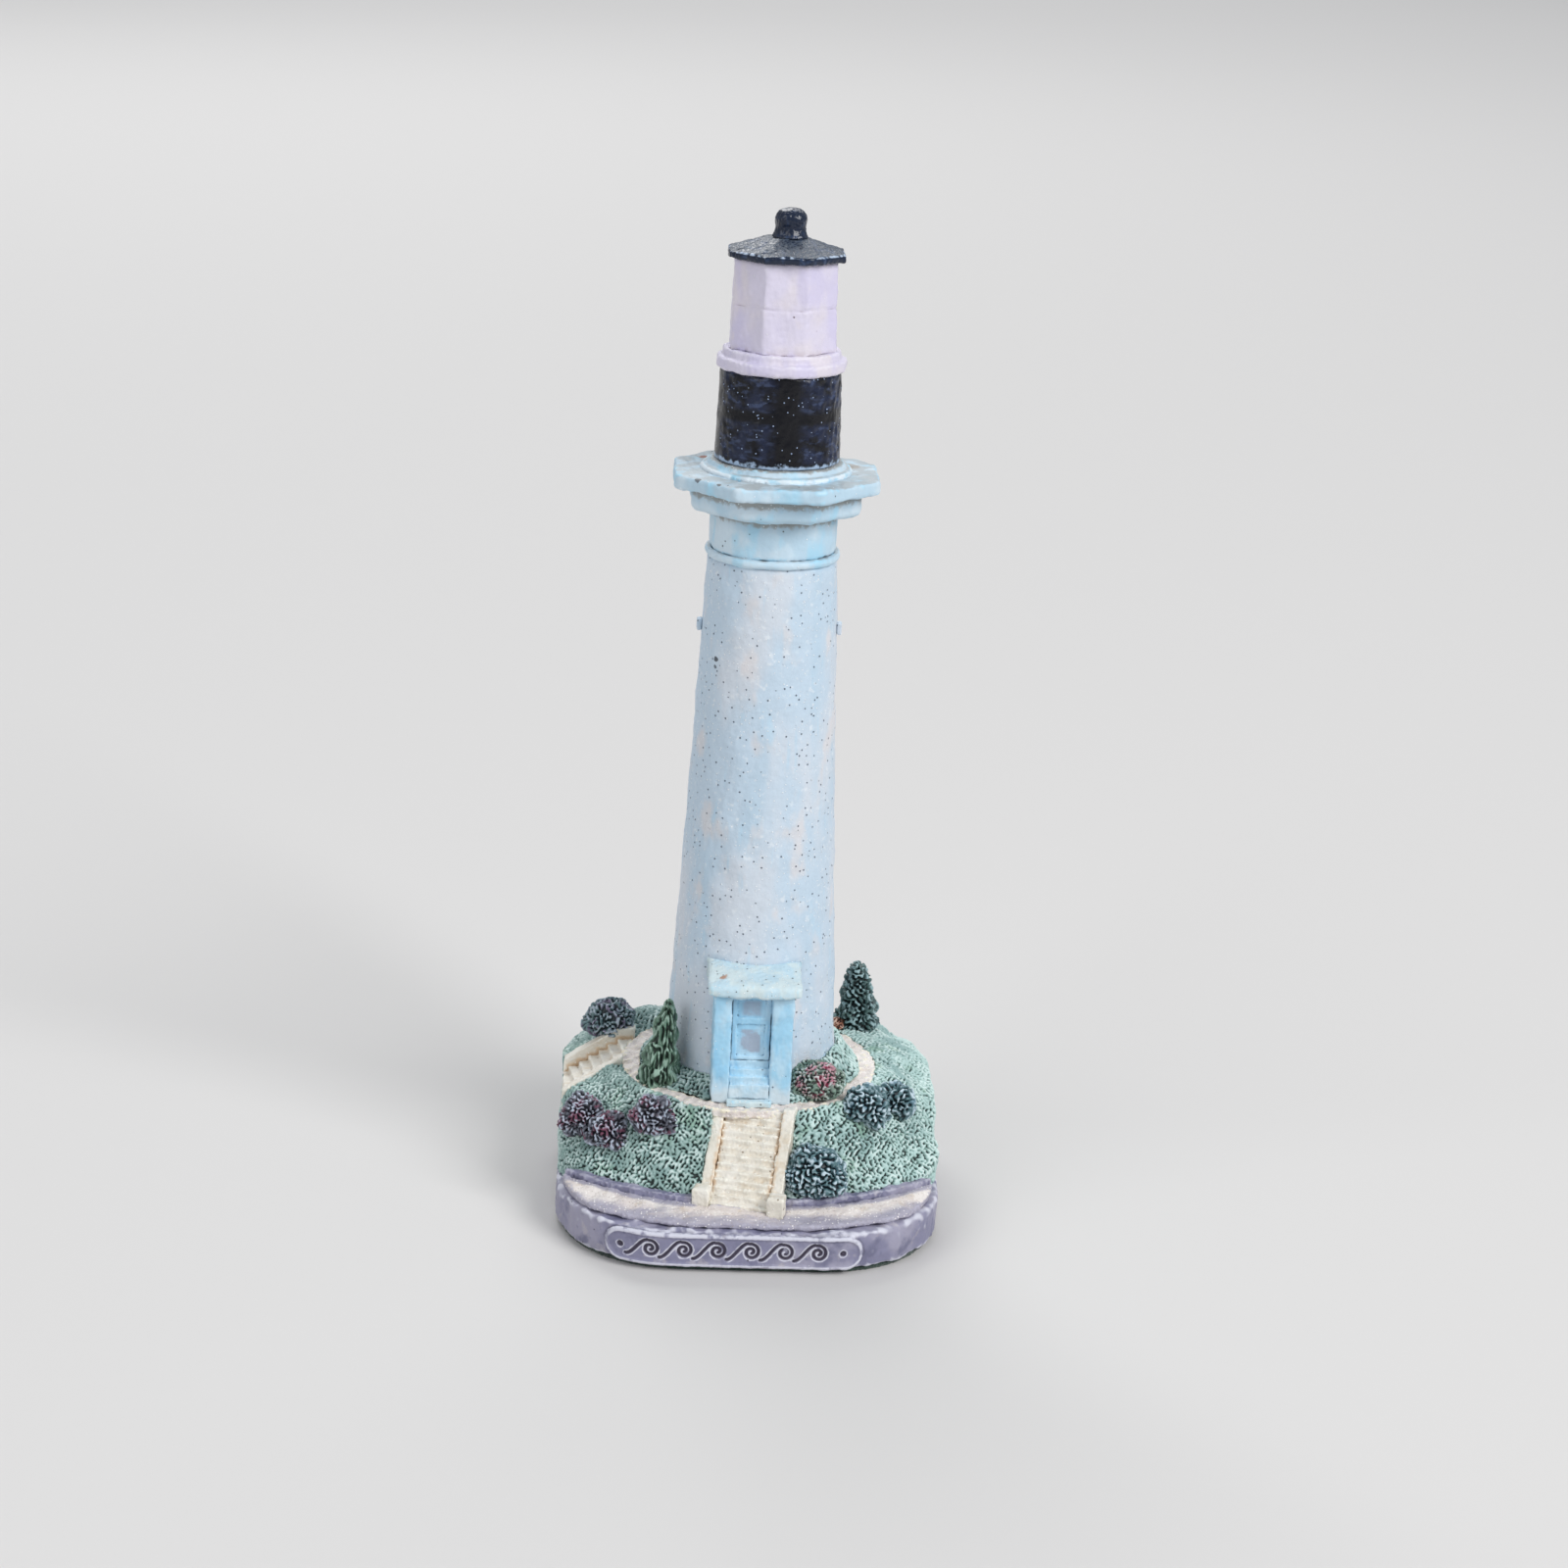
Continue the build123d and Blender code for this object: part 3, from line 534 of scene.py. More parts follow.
def sand_paint(name, side_colour, edge_colour, brushed, worn_in):
    """Pinkish cream with a grain like sand, and another colour brushed in from the neighbours."""
    paint = Paint(name, rgb(220, 210, 205), 0.7)
    paint.layer(rgb(236, 229, 224), paint.patches(1.5, 1, 0.40, 0.60), 0.8)
    paint.layer(rgb(198, 187, 180), paint.patches(1.0, 2, 0.58, 0.72, detail=5, stretch=(brushed, 1, 1)), 0.5)
    paint.layer(rgb(208, 190, 170), paint.patches(0.9, 5, 0.56, 0.7, detail=4), 0.5)
    strokes = paint.math("MULTIPLY", paint.grain(1.0, 7, detail=5, stretch=(brushed, 1, 1)), 0.9)
    blended = paint.math("ADD", paint.attribute("near"), strokes)
    paint.layer(side_colour, paint.ramp(blended, worn_in, worn_in + 0.43), 0.85)
    paint.layer(rgb(150, 132, 118), paint.dots(0.50, 0.13, 0.35, seed=3), 0.5)
    paint.layer(rgb(250, 247, 242), paint.dots(0.45, 0.14, 0.5, seed=4), 0.8)
    grainy = paint.both(paint.marked("edge", 0.10, 0.55), paint.patches(0.3, 8, 0.40, 0.55, detail=4))
    paint.layer(edge_colour, grainy, 0.8)
    paint.relief(paint.grain(0.18, 6, detail=3), 0.16)
    return paint.finish()


def slate_lavender_paint(name, worn_share):
    """Blotchy lavender grey with pale worn edges and dark spots, for the plinth, plaque and kerbs."""
    paint = Paint(name, rgb(130, 129, 155), 0.5)
    paint.layer(rgb(158, 155, 174), paint.patches(4.0, 1, 0.45, 0.60, detail=4), 0.85)
    paint.layer(rgb(106, 106, 132), paint.patches(2.0, 2, 0.52, 0.68, detail=5), 0.85)
    paint.layer(rgb(178, 172, 178), paint.patches(1.1, 8, 0.58, 0.70, detail=4), 0.55)
    paint.layer(rgb(92, 96, 128), paint.patches(0.6, 5, 0.60, 0.74, detail=4), 0.5)
    worn = paint.both(paint.marked("edge", 0.12, 0.45), paint.patches(0.8, 3, 0.30, 0.46, detail=4))
    paint.layer(rgb(208, 208, 220), worn, worn_share)
    paint.layer(rgb(64, 60, 78), paint.marked("edge", -0.15, -0.7), 0.75)
    # Painted shade: darker lavender near the plaque on the plinth, and near the turf on the kerbs.
    neighbour_shade = paint.both(paint.marked("near", 0.35, 0.95), paint.patches(0.7, 10, 0.38, 0.56, detail=4))
    paint.layer(rgb(76, 74, 94), neighbour_shade, 0.55)
    paint.layer(rgb(58, 50, 66), paint.attribute("engraved"), 0.9)
    pits_and_specks(paint, rgb(60, 58, 76), rgb(198, 198, 210), pits=0.35, specks=0.15)
    paint.relief(paint.grain(0.7, 6, detail=5), 0.14)
    paint.rough(paint.grain(2, 7), 0.38, 0.62)
    return paint.finish()


def turf_paint():
    """Turf: dark green in the small pits, grey mint on the strands, with painted shade making the strands
    darker towards the left.
    """
    paint = Paint("turf_paint", rgb(22, 38, 36), 0.65)
    relief = paint.attribute("relief")
    paint.layer(rgb(118, 148, 142), paint.ramp(relief, 0.12, 0.42))
    paint.layer(rgb(184, 212, 208), paint.ramp(relief, 0.36, 0.85), 0.9)
    # Painted shade: strands darker towards the left, away from the key lamp.
    left = paint.ramp(paint.torn(paint.axis(0), 30.0, 6, 4), 22.0, 8.0)
    paint.layer(rgb(116, 144, 138), paint.both(left, paint.ramp(relief, 0.4, 0.8)), 0.6)
    teal = paint.both(paint.ramp(relief, 0.3, 0.7), paint.patches(3.5, 1, 0.52, 0.66, detail=2))
    paint.layer(rgb(108, 142, 142), teal, 0.5)
    green = paint.both(paint.ramp(relief, 0.3, 0.7), paint.patches(2.5, 3, 0.56, 0.68))
    paint.layer(rgb(118, 158, 130), green, 0.55)
    bright = paint.both(paint.ramp(relief, 0.62, 1.0), paint.patches(1.4, 2, 0.42, 0.58, detail=4))
    paint.layer(rgb(214, 232, 228), bright, 0.75)
    paint.relief(paint.grain(0.2, 6, detail=3), 0.05)
    return paint.finish()


def foliage_paint(name, deep, middle, light, blush, blush_share):
    """Leaves: deep wash, middle tone and dry-brushed light ridges, with blushes of another colour."""
    paint = Paint(name, deep, 0.45)
    relief = paint.attribute("relief")
    paint.layer(middle, paint.ramp(relief, 0.25, 0.65), 0.95)
    patches = paint.patches(0.9, 1, 1 - blush_share, 1.10 - blush_share, detail=2)
    paint.layer(blush, paint.both(paint.ramp(relief, 0.30, 0.65), patches), 0.9)
    ridges = paint.both(paint.ramp(relief, 0.70, 0.99), paint.patches(0.7, 2, 0.40, 0.56))
    paint.layer(light, ridges, 0.9)
    paint.relief(paint.grain(0.2, 6, detail=3), 0.05)
    return paint.finish()


def blossom_bush_paint():
    """Turf-green leaves with pink and crimson flowers brushed over the middle of the bush."""
    low, high = node_box("flower_bush")
    crown = ((low[0] + high[0]) / 2 + 0.6, low[1] + 1.4, (low[2] + high[2]) / 2 + 0.6)
    paint = Paint("rose_blossom", rgb(38, 50, 44), 0.5)
    relief = paint.attribute("relief")
    paint.layer(rgb(112, 136, 122), paint.ramp(relief, 0.25, 0.65), 0.95)
    flowers = paint.both(paint.near_point(crown, 3.0, 41, ragged=0.9), paint.patches(1.1, 5, 0.40, 0.50))
    paint.layer(rgb(196, 134, 152), paint.both(flowers, paint.ramp(relief, 0.35, 0.75)), 0.9)
    paint.layer(rgb(152, 48, 82), paint.both(flowers, paint.patches(0.6, 2, 0.54, 0.62)), 0.8)
    ridges = paint.both(paint.ramp(relief, 0.72, 1.0), paint.patches(0.6, 3, 0.44, 0.58))
    paint.layer(rgb(196, 206, 202), ridges, 0.85)
    paint.relief(paint.grain(0.2, 6, detail=3), 0.05)
    return paint.finish()


def felt_material():
    """Short green felt."""
    paint = Paint("green_felt", rgb(34, 58, 48), 0.95)
    paint.layer(rgb(58, 88, 72), paint.patches(0.25, 1, 0.48, 0.66, detail=4, distortion=1.5), 0.8)
    paint.layer(rgb(20, 36, 32), paint.patches(1.5, 2, 0.5, 0.7), 0.6)
    paint.relief(paint.grain(0.12, 3, detail=4, distortion=2.0), 0.15)
    paint.shader.inputs["Sheen Weight"].default_value = 0.4
    return paint.finish()


shaft_blue = shaft_blue_paint()
gallery_blue = gallery_blue_paint()
gloss_navy = gloss_navy_paint()
roof_slate = roof_slate_paint()
pale_pink = pale_pink_paint()
door_blue = door_blue_paint("door_blue_paint", 1.0)
step_blue = door_blue_paint("step_blue_paint", 0.25)
canopy_ice = canopy_paint()
cream = cream_paint()
path_sand = sand_paint("path_sand_paint", rgb(204, 194, 176), rgb(246, 238, 212), 1, 0.62)
road_sand = sand_paint("road_sand_paint", rgb(150, 148, 168), rgb(176, 174, 190), 4, 0.46)
slate_lavender = slate_lavender_paint("slate_lavender_paint", 0.95)
kerb_lavender = slate_lavender_paint("kerb_lavender_paint", 0.35)
turf = turf_paint()
felt = felt_material()


# ---------------------------------------------------------------- tower
def flared(mesh, points):
    """The ring under the drum runs out into the deck."""
    return 0.7 * step(points[:, 2], DECK_TOP + 0.9, DECK_TOP)


on_the_shaft = ("door_surround", "door_canopy", "shaft_bead")
round_the_corbel = ("gallery_deck", "gallery_neck")
cast("tower_shaft", shaft_blue, "pale_blue_paint", 0.35, 5, 0.06, near=on_the_shaft)
cast("shaft_bead", gallery_blue, "pale_blue_paint", 0.16, 3, 0.05)
# Painted shade under the deck spreads further down the neck and corbel.
cast("gallery_neck", gallery_blue, "pale_blue_paint", 0.25, 4, 0.05, near=("gallery_corbel",), reach=1.6)
cast("gallery_corbel", gallery_blue, "pale_blue_paint", 0.20, 6, 0.07, near=round_the_corbel, reach=1.9)
cast("gallery_deck", gallery_blue, "pale_blue_paint", 0.20, 5, 0.07)
cast("drum_plinth", gallery_blue, "pale_blue_paint", 0.20, 2, 0.06, near=("watch_drum",), shape=flared)
for side in ("left", "right"):
    cast(f"side_window_{side}", shaft_blue, "pale_blue_paint", 0.12, 5, 0.05)


def lantern_line(mesh, points):
    """A shallow broken line scribed round the lantern a little under half way up."""
    around = np.arctan2(points[:, 1] - AXIS[1], points[:, 0] - AXIS[0])
    line = LANTERN_LOW + 0.46 * (LANTERN_HIGH - LANTERN_LOW) + 0.12 * np.sin(5 * around)
    depth = 0.12 + 0.06 * np.sin(9 * around)
    return -depth * np.exp(-(((points[:, 2] - line) / 0.14) ** 2))


def drum_reflections(mesh, points):
    """Four soft panels that carry the painted reflections, with a plainer cross between them; faintly uneven
    inside the panels.
    """
    around = np.arctan2(points[:, 0] - AXIS[0], AXIS[1] - points[:, 1])
    part = (points[:, 2] - DRUM_LOW) / (DRUM_HIGH - DRUM_LOW)
    beside = step(np.abs(np.sin(2 * around - 0.2)), 0.25, 0.7)
    above = step(np.abs(np.sin(2 * pi * part)), 0.2, 0.6)
    panel = beside * above
    store(mesh, "panel", panel)
    return 0.03 * panel * waves(points, 1.3, 8)


cast("watch_drum", gloss_navy, "gloss_navy_paint", 0.22, 4, 0.03, 3.0, shape=drum_reflections)
cast("lantern_room", pale_pink, "pale_pink_paint", 0.2, 4, 0.05, 4.0, ("lantern_collar",), lantern_line)
cast("lantern_collar", pale_pink, "pale_pink_paint", 0.2, 4, 0.05, 3.0, ("watch_drum",))
cast("roof_cap", roof_slate, "roof_slate_paint", 0.17, 4, 0.06, 3.0)
cast("roof_finial", roof_slate, "roof_slate_paint", 0.12, 4, 0.05, 2.0, offset=(0.45, 0, 0))


# ---------------------------------------------------------------- door
PANEL_MIDDLE = 29.4  # heights of the middle of the door's panel and of its transom
TRANSOM_MIDDLE = 34.6
PANEL_SIDE = 1.7  # half the width of both


def leaf_panels(mesh, points):
    """Mark the two sunk panels for the lilac-grey paint."""
    low, high = node_box("door_leaf")
    side = np.abs(points[:, 0] - (low[0] + high[0]) / 2)
    panel = step(side, PANEL_SIDE, 1.2) * step(np.abs(points[:, 2] - PANEL_MIDDLE), 2.0, 1.6)
    transom = step(side, PANEL_SIDE, 1.0) * step(np.abs(points[:, 2] - TRANSOM_MIDDLE), 1.5, 0.9)
    store(mesh, "panel", np.maximum(panel, 0.8 * transom))
    return 0 * side


def pillow(mesh, points):
    """The canopy's slope bulges a little in the middle and drops at its lower edge."""
    low, high = node_box("door_canopy")
    middle, half_size = (low + high) / 2, (high - low) / 2
    across = np.abs((points[:, 0] - middle[0]) / half_size[0])
    return 0.35 * step(across, 1.0, 0.5) - 0.25 * step(across, 0.88, 1.0)


cast("door_surround", door_blue, "door_blue_paint", 0.18, 4, 0.05, 3.0, ("door_leaf", "door_canopy"))
beside_leaf = ("door_surround", "door_steps")
cast("door_leaf", door_blue, "door_blue_paint", 0.12, 3, 0.04, 2.0, beside_leaf, leaf_panels)
cast("door_steps", step_blue, "door_blue_paint", 0.12, 4, 0.05, 2.0)
cast("door_threshold", canopy_ice, "door_blue_paint", 0.12, 4, 0.05, 2.0)
cast("door_canopy", canopy_ice, "pale_blue_paint", 0.15, 12, 0.05, 3.0, ("door_surround",), pillow)


# ---------------------------------------------------------------- base, kerbs, road and path
def worn_plinth(mesh, points):
    """Dents and a slightly wavy top edge."""
    return 0.10 * waves(points, 3.0, 61) * step(points[:, 2], 5.0, 6.2)


WAVE_COUNT = 6
WAVE_PITCH = 4.9
WAVE_HEIGHT = 1.35  # half the height of the wave scroll
LINE_WIDTH = 0.34  # of the engraved lines
DOTS_AT = (-16.6, 15.9)  # along the plaque, from its middle


def wave_line():
    """Points of the engraved scroll: each wave swings up from the foot of the last and curls in."""
    for number in range(WAVE_COUNT):
        middle = (number - (WAVE_COUNT - 1) / 2) * WAVE_PITCH
        for part in np.linspace(0, 1, 26):
            rise = part * part * (3 - 2 * part)
            yield middle - 0.72 * WAVE_PITCH + 0.62 * WAVE_PITCH * part, WAVE_HEIGHT * (1.9 * rise - 0.95)
        for part in np.linspace(0, 1, 60):
            angle = radians(100 - 520 * part)
            radius = WAVE_HEIGHT * (0.92 - 0.74 * part)
            yield middle + radius * cos(angle), radius * sin(angle)


def plaque_motif(mesh, points):
    """Engraved row of rolling waves between two dots, and a raised worn rim."""
    low, high = node_box("name_plaque")
    middle = (low + high) / 2
    along = points[:, 0] - middle[0]
    up = points[:, 2] - middle[2]
    nearest = np.full(len(points), 9.0)
    for x, z in wave_line():
        nearest = np.minimum(nearest, np.hypot(along - x, up - z))
    for x in DOTS_AT:
        nearest = np.minimum(nearest, np.hypot(along - x, up) - 0.2)
    cut = step(nearest, LINE_WIDTH, 0.4 * LINE_WIDTH)
    store(mesh, "engraved", cut)
    half_length, half_height = (high - low)[0] / 2, (high - low)[2] / 2
    outside = np.hypot(np.maximum(np.abs(along) - (half_length - half_height), 0), up) - half_height
    rim = np.exp(-(((outside + 0.30) / 0.28) ** 2))
    return 0.22 * rim - 0.30 * cut


cast("base_plinth", slate_lavender, "slate_lavender_paint", 0.3, 6, 0.10, 6.0, ("name_plaque",), worn_plinth)
cast("name_plaque", slate_lavender, "slate_lavender_paint", 0.12, 3, 0.03, 3.0, shape=plaque_motif)
for side in ("left", "right"):
    cast(f"kerb_{side}", kerb_lavender, "slate_lavender_paint", 0.2, 6, 0.10, 3.0, ("grass_hill",))
road_sides = ("kerb_left", "kerb_right", "base_plinth")
cast("road_strip", road_sand, "sand_paint", 0.22, 6, 0.07, 3.0, road_sides, reach=1.5)
cast("ring_path", path_sand, "sand_paint", 0.20, 4, 0.10, 1.6, ("tower_mound",), reach=0.5)

# ---------------------------------------------------------------- stairs
front_rails = ("front_rail_left", "front_rail_right")
side_walls = ("side_wall_front", "side_wall_rear")
cast("front_steps", cream, "cream_paint", 0.14, 4, 0.06, 2.0, front_rails)
cast("side_steps", cream, "cream_paint", 0.14, 3, 0.05, 2.5, side_walls)
for node in side_walls:
    cast(node, cream, "cream_paint", 0.14, 3, 0.05, 2.5, ("side_steps",))
for side in ("left", "right"):
    cast(f"front_rail_{side}", cream, "cream_paint", 0.14, 3, 0.05, 2.5, ("front_steps",))
    cast(f"front_post_{side}", cream, "cream_paint", 0.14, 4, 0.05, 2.5)


# ---------------------------------------------------------------- turf
def net(points, pitch, seed, low=-1.5, high=0.9):
    """Net of raised strands: 0 in the small pits between them, 1 on the strands."""
    return step(waves(points, pitch, seed, count=80), low, high)


def turf_mesh(node, voxel, depth, pitch, seed, covers):
    """A grass node with its net of strands. Where other pieces lie on it, it stays just below them."""
    mesh = even_mesh(node, voxel)
    soften(mesh, 3)
    points = points_of(mesh)
    relief = net(points, pitch, seed)
    edges = read(mesh.edges, "vertices", 2, int)
    under = spread(covered(points, covers, 0.8)[:, None], edges, 2)[:, 0]
    heights = depth * (relief - 0.65) + 0.15 * waves(points, 6, seed + 1) + hump(points)
    push(mesh, heights * (1 - under) - 0.3 * under)
    store(mesh, "relief", relief)
    return mesh


HUMP_X, HUMP_Y = -15, 19  # middle of the rise behind the short flight
HUMP_RADIUS = 8
HUMP_HEIGHT = 1.6


def hump(points):
    """The rise behind the short flight on the left."""
    out = np.hypot(points[:, 0] - HUMP_X, points[:, 1] - HUMP_Y)
    return HUMP_HEIGHT * step(out, HUMP_RADIUS, 0) * step(points[:, 2], PLATEAU - 3, PLATEAU)


SEAM = -1.0  # the hill is two pieces that meet at this x


def half(mesh, side):
    """The part of a mesh on one side of x = SEAM, closed, plain underneath and under the tower."""
    made = bmesh.new()
    made.from_mesh(mesh)
    hidden = []
    for face in made.faces:
        x, y, z = face.calc_center_median()
        if z > PLATEAU - 2.5 and sqrt((x - AXIS[0]) ** 2 + (y - AXIS[1]) ** 2) < PATH_OUTER - 1:
            hidden.append(face)
    bmesh.ops.delete(made, geom=hidden, context="FACES")
    low = min(vertex.co.z for vertex in made.verts) + 0.25
    for point, normal in (((SEAM, 0, 0), (-side, 0, 0)), ((0, 0, low), (0, 0, -1))):
        rim = [edge for edge in made.edges if edge.is_boundary]
        bmesh.ops.holes_fill(made, edges=rim, sides=0)
        everything = made.verts[:] + made.edges[:] + made.faces[:]
        bmesh.ops.bisect_plane(made, geom=everything, plane_co=point, plane_no=normal, clear_outer=True)
        for edge in made.edges:
            if edge.is_boundary:
                edge.smooth = False
    bmesh.ops.holes_fill(made, edges=[edge for edge in made.edges if edge.is_boundary], sides=0)
    part = bpy.data.meshes.new("half")
    made.to_mesh(part)
    made.free()
    return part


on_the_hill = ("ring_path", "tower_mound", "front_steps", "front_rail_left", "front_rail_right")
on_the_hill += ("side_steps", "side_wall_front", "side_wall_rear")
hill = turf_mesh("grass_hill", 0.165, 0.48, 0.56, 11, on_the_hill)
place(half(hill, -1), "grass_hill_left_turf", turf, "turf_paint", "grass_hill")
place(half(hill, 1), "grass_hill_right_turf", turf, "turf_paint", "grass_hill")


MOUND_LIFT = 2.0  # how much higher the bank is at the right
MOUND_RIM = 0.35  # how far its rim is pressed out against the path


def mound():
    """The bank round the tower's foot, which is higher at the right."""
    mesh = turf_mesh("tower_mound", 0.14, 0.42, 0.54, 12, ())
    points = points_of(mesh)
    around = np.arctan2(points[:, 1] - AXIS[1], points[:, 0] - AXIS[0])
    out = np.hypot(points[:, 0] - AXIS[0], points[:, 1] - AXIS[1])
    lift = step(np.cos(around - radians(20)), -0.3, 0.9) * step(out, PATH_OUTER - 3.2, PATH_OUTER - 6)
    points[:, 2] += MOUND_LIFT * lift
    rim = MOUND_RIM * step(out, PATH_OUTER - 5, PATH_OUTER - 3.4) / np.maximum(out, 1)
    points[:, :2] += rim[:, None] * (points[:, :2] - np.array(AXIS[:2]))
    write_points(mesh, points)
    place(mesh, "tower_mound_turf", turf, "turf_paint", "tower_mound")


mound()


# ---------------------------------------------------------------- planting
def blob_mesh(centre, half_size, blobs, voxel):
    """Union of soft balls. Each blob is its centre and its radii as shares of the plant's half size."""
    made = bmesh.new()
    for middle, radii in blobs:
        ball = bmesh.ops.create_icosphere(made, subdivisions=4, radius=1.0)["verts"]
        for vertex in ball:
            for axis in range(3):
                share = middle[axis] + radii[axis] * vertex.co[axis]
                vertex.co[axis] = centre[axis] + half_size[axis] * share
    raw = bpy.data.meshes.new("blobs")
    made.to_mesh(raw)
    made.free()
    return remeshed(raw, voxel)


def curls(points, pitch, seed, low, high):
    """Curly leaves: rings round scattered rosettes, broken up so that they read as crumpled ribbons."""
    rng = np.random.default_rng(seed)
    hearts = points[rng.integers(0, len(points), 9)]
    gap = np.sqrt(((points[:, None, :] - hearts[None, :, :]) ** 2).sum(axis=2)).min(axis=1)
    rings = np.cos(2 * pi * (gap + 0.22 * waves(points, 1.6, seed + 1)) / (1.25 * pitch))
    return step(0.55 * rings + 0.75 * waves(points, pitch, seed + 2, count=40), low, high)


def plant(node, material, slot, pitch, depth, seed, blobs, grow=1.0, stretch=1.0, low=-0.9, high=0.75):
    """A lumpy plant of crumpled leaves where its CAD node stands."""
    corner, far = node_box(node)
    mesh = blob_mesh((corner + far) / 2, (far - corner) / 2 * grow, blobs, 0.11)
    soften(mesh, 3)
    points = points_of(mesh)
    leaves = curls(points / np.array((1, 1, stretch)), pitch, seed, low, high)
    push(mesh, depth * (leaves - 0.6) + 0.35 * depth * waves(points, 2.6, seed + 5))
    store(mesh, "relief", leaves)
    return place(mesh, node + "_leaves", material, slot, node)


plum = foliage_paint(
    "plum_foliage", rgb(28, 28, 38), rgb(86, 88, 100),
    rgb(180, 190, 206), rgb(116, 62, 84), 0.52,
)
teal = foliage_paint(
    "teal_foliage", rgb(20, 36, 44), rgb(84, 118, 124),
    rgb(196, 214, 224), rgb(100, 134, 150), 0.45,
)
dusk = foliage_paint(
    "dusk_foliage", rgb(26, 40, 46), rgb(98, 124, 128),
    rgb(172, 184, 196), rgb(112, 98, 126), 0.5,
)
pine = foliage_paint(
    "pine_foliage", rgb(32, 48, 40), rgb(86, 116, 98),
    rgb(152, 180, 164), rgb(104, 136, 116), 0.45,
)
spruce = foliage_paint(
    "spruce_foliage", rgb(18, 30, 32), rgb(74, 102, 100),
    rgb(150, 178, 182), rgb(58, 80, 82), 0.5,
)
rose = blossom_bush_paint()
rust = foliage_paint(
    "rust_blossom", rgb(70, 40, 34), rgb(150, 98, 78),
    rgb(206, 176, 160), rgb(150, 78, 56), 0.5,
)

ROUND = (
    ((0, 0, 0), (0.95, 0.95, 0.95)),
    ((0.35, -0.3, -0.25), (0.7, 0.7, 0.6)),
    ((-0.4, -0.1, -0.2), (0.65, 0.7, 0.65)),
)
LOW = (
    ((0, 0, -0.1), (1.0, 1.0, 0.8)),
    ((-0.45, -0.1, -0.25), (0.6, 0.7, 0.6)),
    ((0.4, -0.2, -0.2), (0.6, 0.7, 0.6)),
)
SPREADING = (
    ((0, 0, -0.3), (1.2, 1.05, 0.8)),
    ((0.45, -0.1, -0.1), (0.6, 0.7, 0.7)),
    ((0.1, -0.5, -0.5), (1.2, 0.8, 0.5)),
)
PINE = (
    ((-0.2, 0, -0.75), (0.8, 0.85, 0.4)),
    ((-0.1, 0, -0.35), (0.7, 0.75, 0.55)),
    ((0.0, 0, 0.1), (0.52, 0.58, 0.6)),
    ((0.1, 0, 0.5), (0.36, 0.40, 0.5)),
)
SPRUCE = (
    ((0, 0, -0.7), (1.0, 1.0, 0.4)),
    ((0.05, -0.1, -0.3), (0.85, 0.85, 0.45)),
    ((-0.05, 0, 0.1), (0.68, 0.7, 0.45)),
    ((-0.05, 0, 0.5), (0.48, 0.5, 0.45)),
)
for number, node in enumerate(("shrub_left_edge", "shrub_left_front", "shrub_left_inner")):
    plant(node, plum, "foliage_paint", 0.58, 0.75, 20 + number, ROUND, 1.04)
plant("shrub_rear_left", dusk, "foliage_paint", 0.58, 0.60, 24, LOW, 1.05)
for number, node in enumerate(("shrub_right_inner", "shrub_right_edge", "shrub_right_front")):
    plant(node, teal, "foliage_paint", 0.66, 0.80, 30 + number, ROUND, 1.04)
plant("flower_bush", rose, "blossom_paint", 0.55, 0.50, 40, SPREADING)
plant("flower_clump", rust, "blossom_paint", 0.45, 0.30, 41, ROUND, 1.1)
plant("left_conifer", pine, "foliage_paint", 0.46, 0.65, 50, PINE, stretch=5.0)
plant("rear_conifer", spruce, "foliage_paint", 0.70, 0.85, 51, SPRUCE)

pad = cast("felt_pad", felt, "green_felt", 0.25, 1, 0.02)


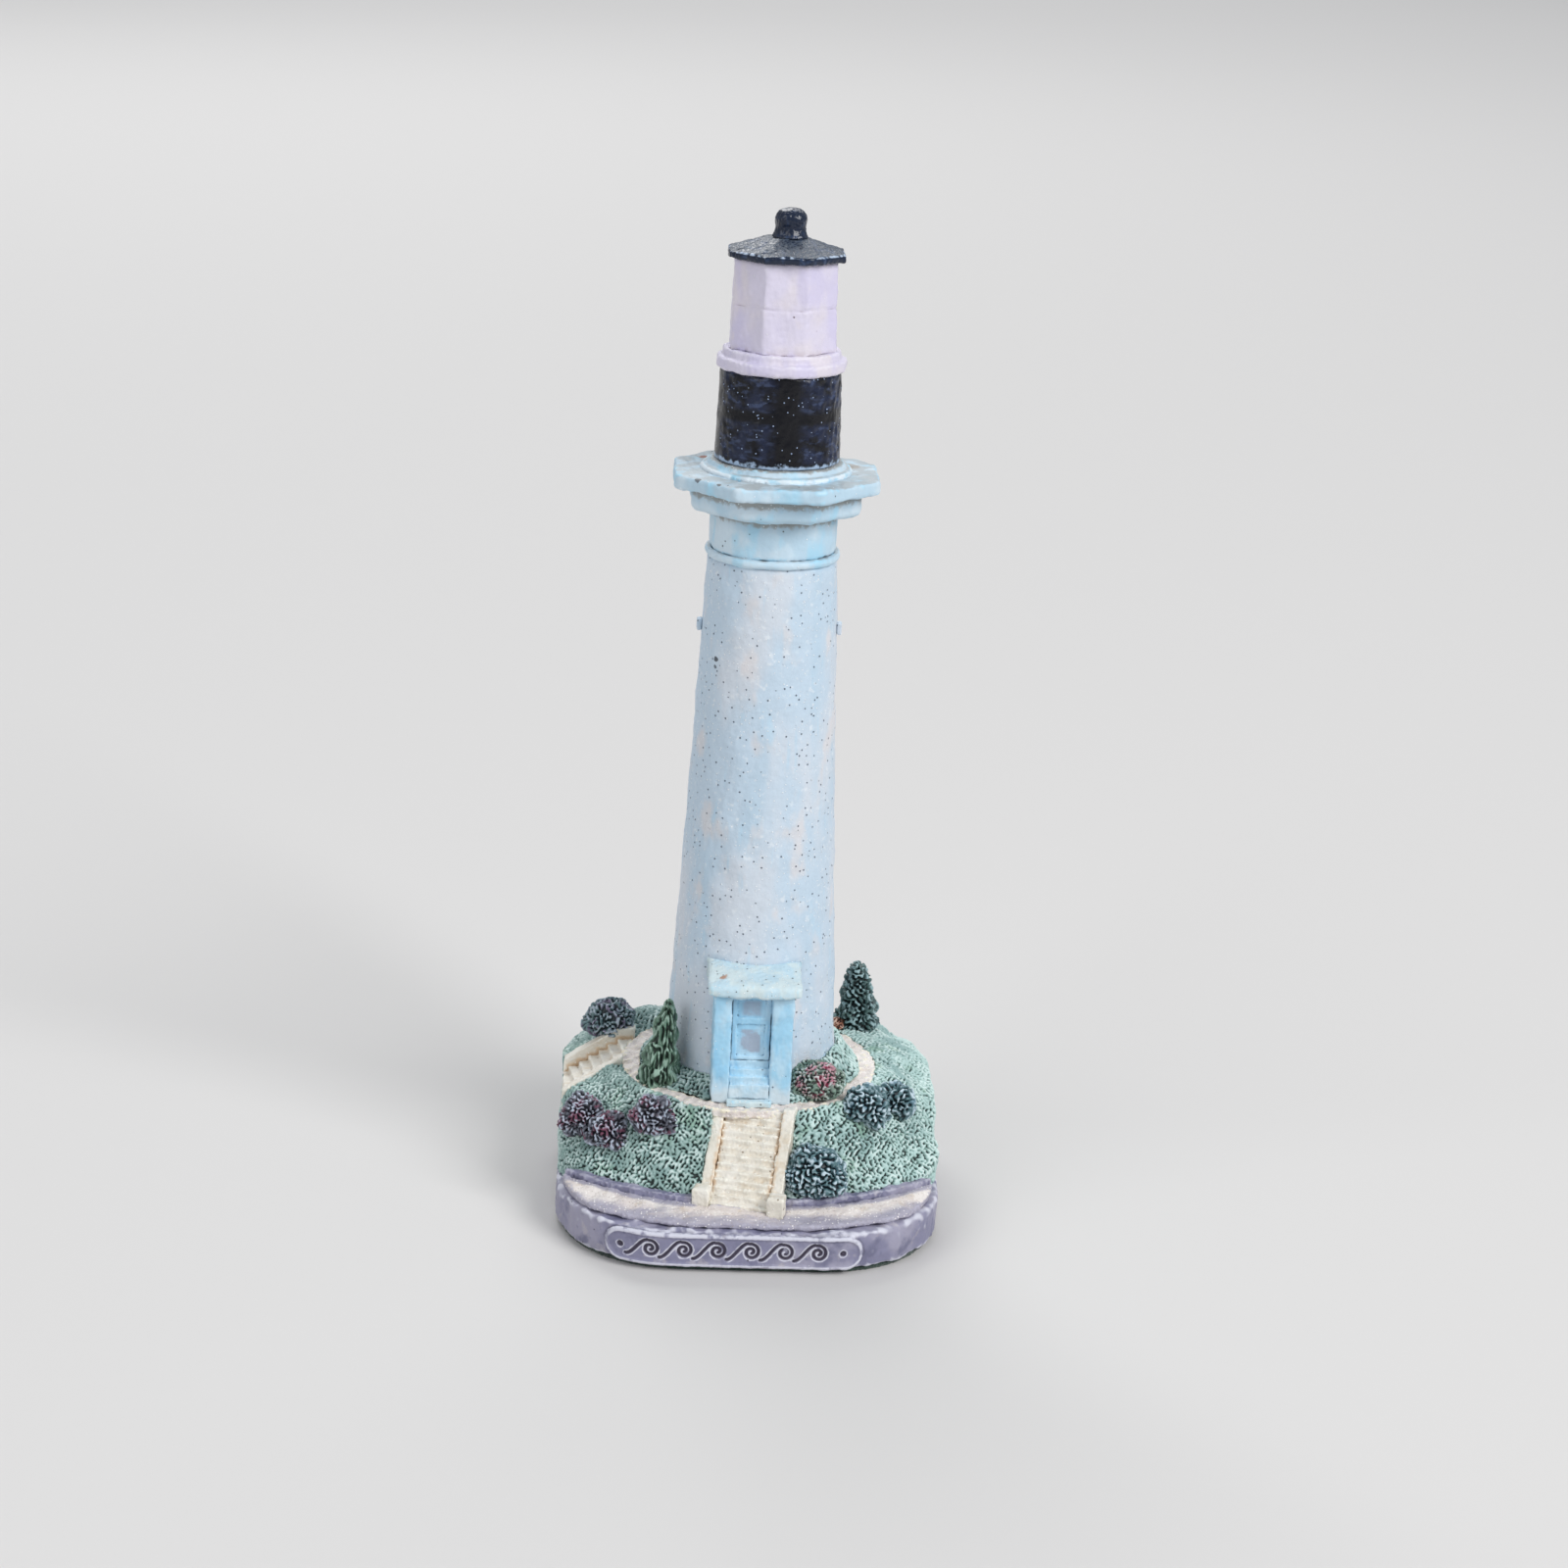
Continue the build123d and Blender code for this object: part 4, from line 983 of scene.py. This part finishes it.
# ---------------------------------------------------------------- floor, light and camera
def floor():
    """Plain pale floor."""
    made = bmesh.new()
    bmesh.ops.create_grid(made, x_segments=1, y_segments=1, size=4.0)
    mesh = bpy.data.meshes.new("floor")
    made.to_mesh(mesh)
    made.free()
    plain = bpy.data.materials.new("floor_paint")
    plain.use_nodes = True
    plain.node_tree.nodes["Principled BSDF"].inputs["Base Color"].default_value = rgb(206, 204, 202)
    plain.node_tree.nodes["Principled BSDF"].inputs["Roughness"].default_value = 0.8
    mesh.materials.append(plain)
    ground = bpy.data.objects.new("floor", mesh)
    scene.collection.objects.link(ground)


def lamp(name, place_at, aim, size, power):
    """Soft square lamp."""
    data = bpy.data.lights.new(name, "AREA")
    data.size = size
    data.energy = power
    holder = bpy.data.objects.new(name, data)
    scene.collection.objects.link(holder)
    holder.location = place_at
    direction = Vector(aim) - Vector(place_at)
    holder.rotation_euler = direction.to_track_quat("-Z", "Y").to_euler()


def world_light(strength):
    """Even pale light from all round."""
    world = bpy.data.worlds.new("studio")
    scene.world = world
    world.use_nodes = True
    background = world.node_tree.nodes["Background"]
    background.inputs["Color"].default_value = rgb(226, 232, 240)
    background.inputs["Strength"].default_value = strength


def camera():
    """Hand-held view from the front, a little above, with the phone's slight tilt."""
    pitch, turn, roll = radians(17.5), radians(3.0), radians(2.8)
    data = bpy.data.cameras.new("camera")
    data.lens = 73.125
    data.sensor_width = 36.0
    data.clip_start = 0.01
    holder = bpy.data.objects.new("camera", data)
    scene.collection.objects.link(holder)
    holder.location = Vector((-20.4, -450.0, 207.6)) * MM
    tilt = Matrix.Rotation(pi / 2 - pitch, 4, "X") @ Matrix.Rotation(roll, 4, "Z")
    look = Matrix.Rotation(-turn, 4, "Z") @ tilt
    holder.rotation_mode = "QUATERNION"
    holder.rotation_quaternion = look.to_quaternion()
    scene.camera = holder


floor()
world_light(0.42)
lamp("key", (1.10, -1.00, 1.20), (0, 0, 0.07), 0.9, 26.0)
lamp("fill", (-1.20, -0.90, 0.90), (0, 0, 0.07), 1.2, 8.0)
lamp("back", (-0.5, 1.6, 1.5), (0, 0, 0.08), 1.2, 12.0)
lamp("far", (0, 3.2, 2.6), (0, 2.8, 0), 3.0, 60.0)
camera()
scene.view_settings.view_transform = "Standard"
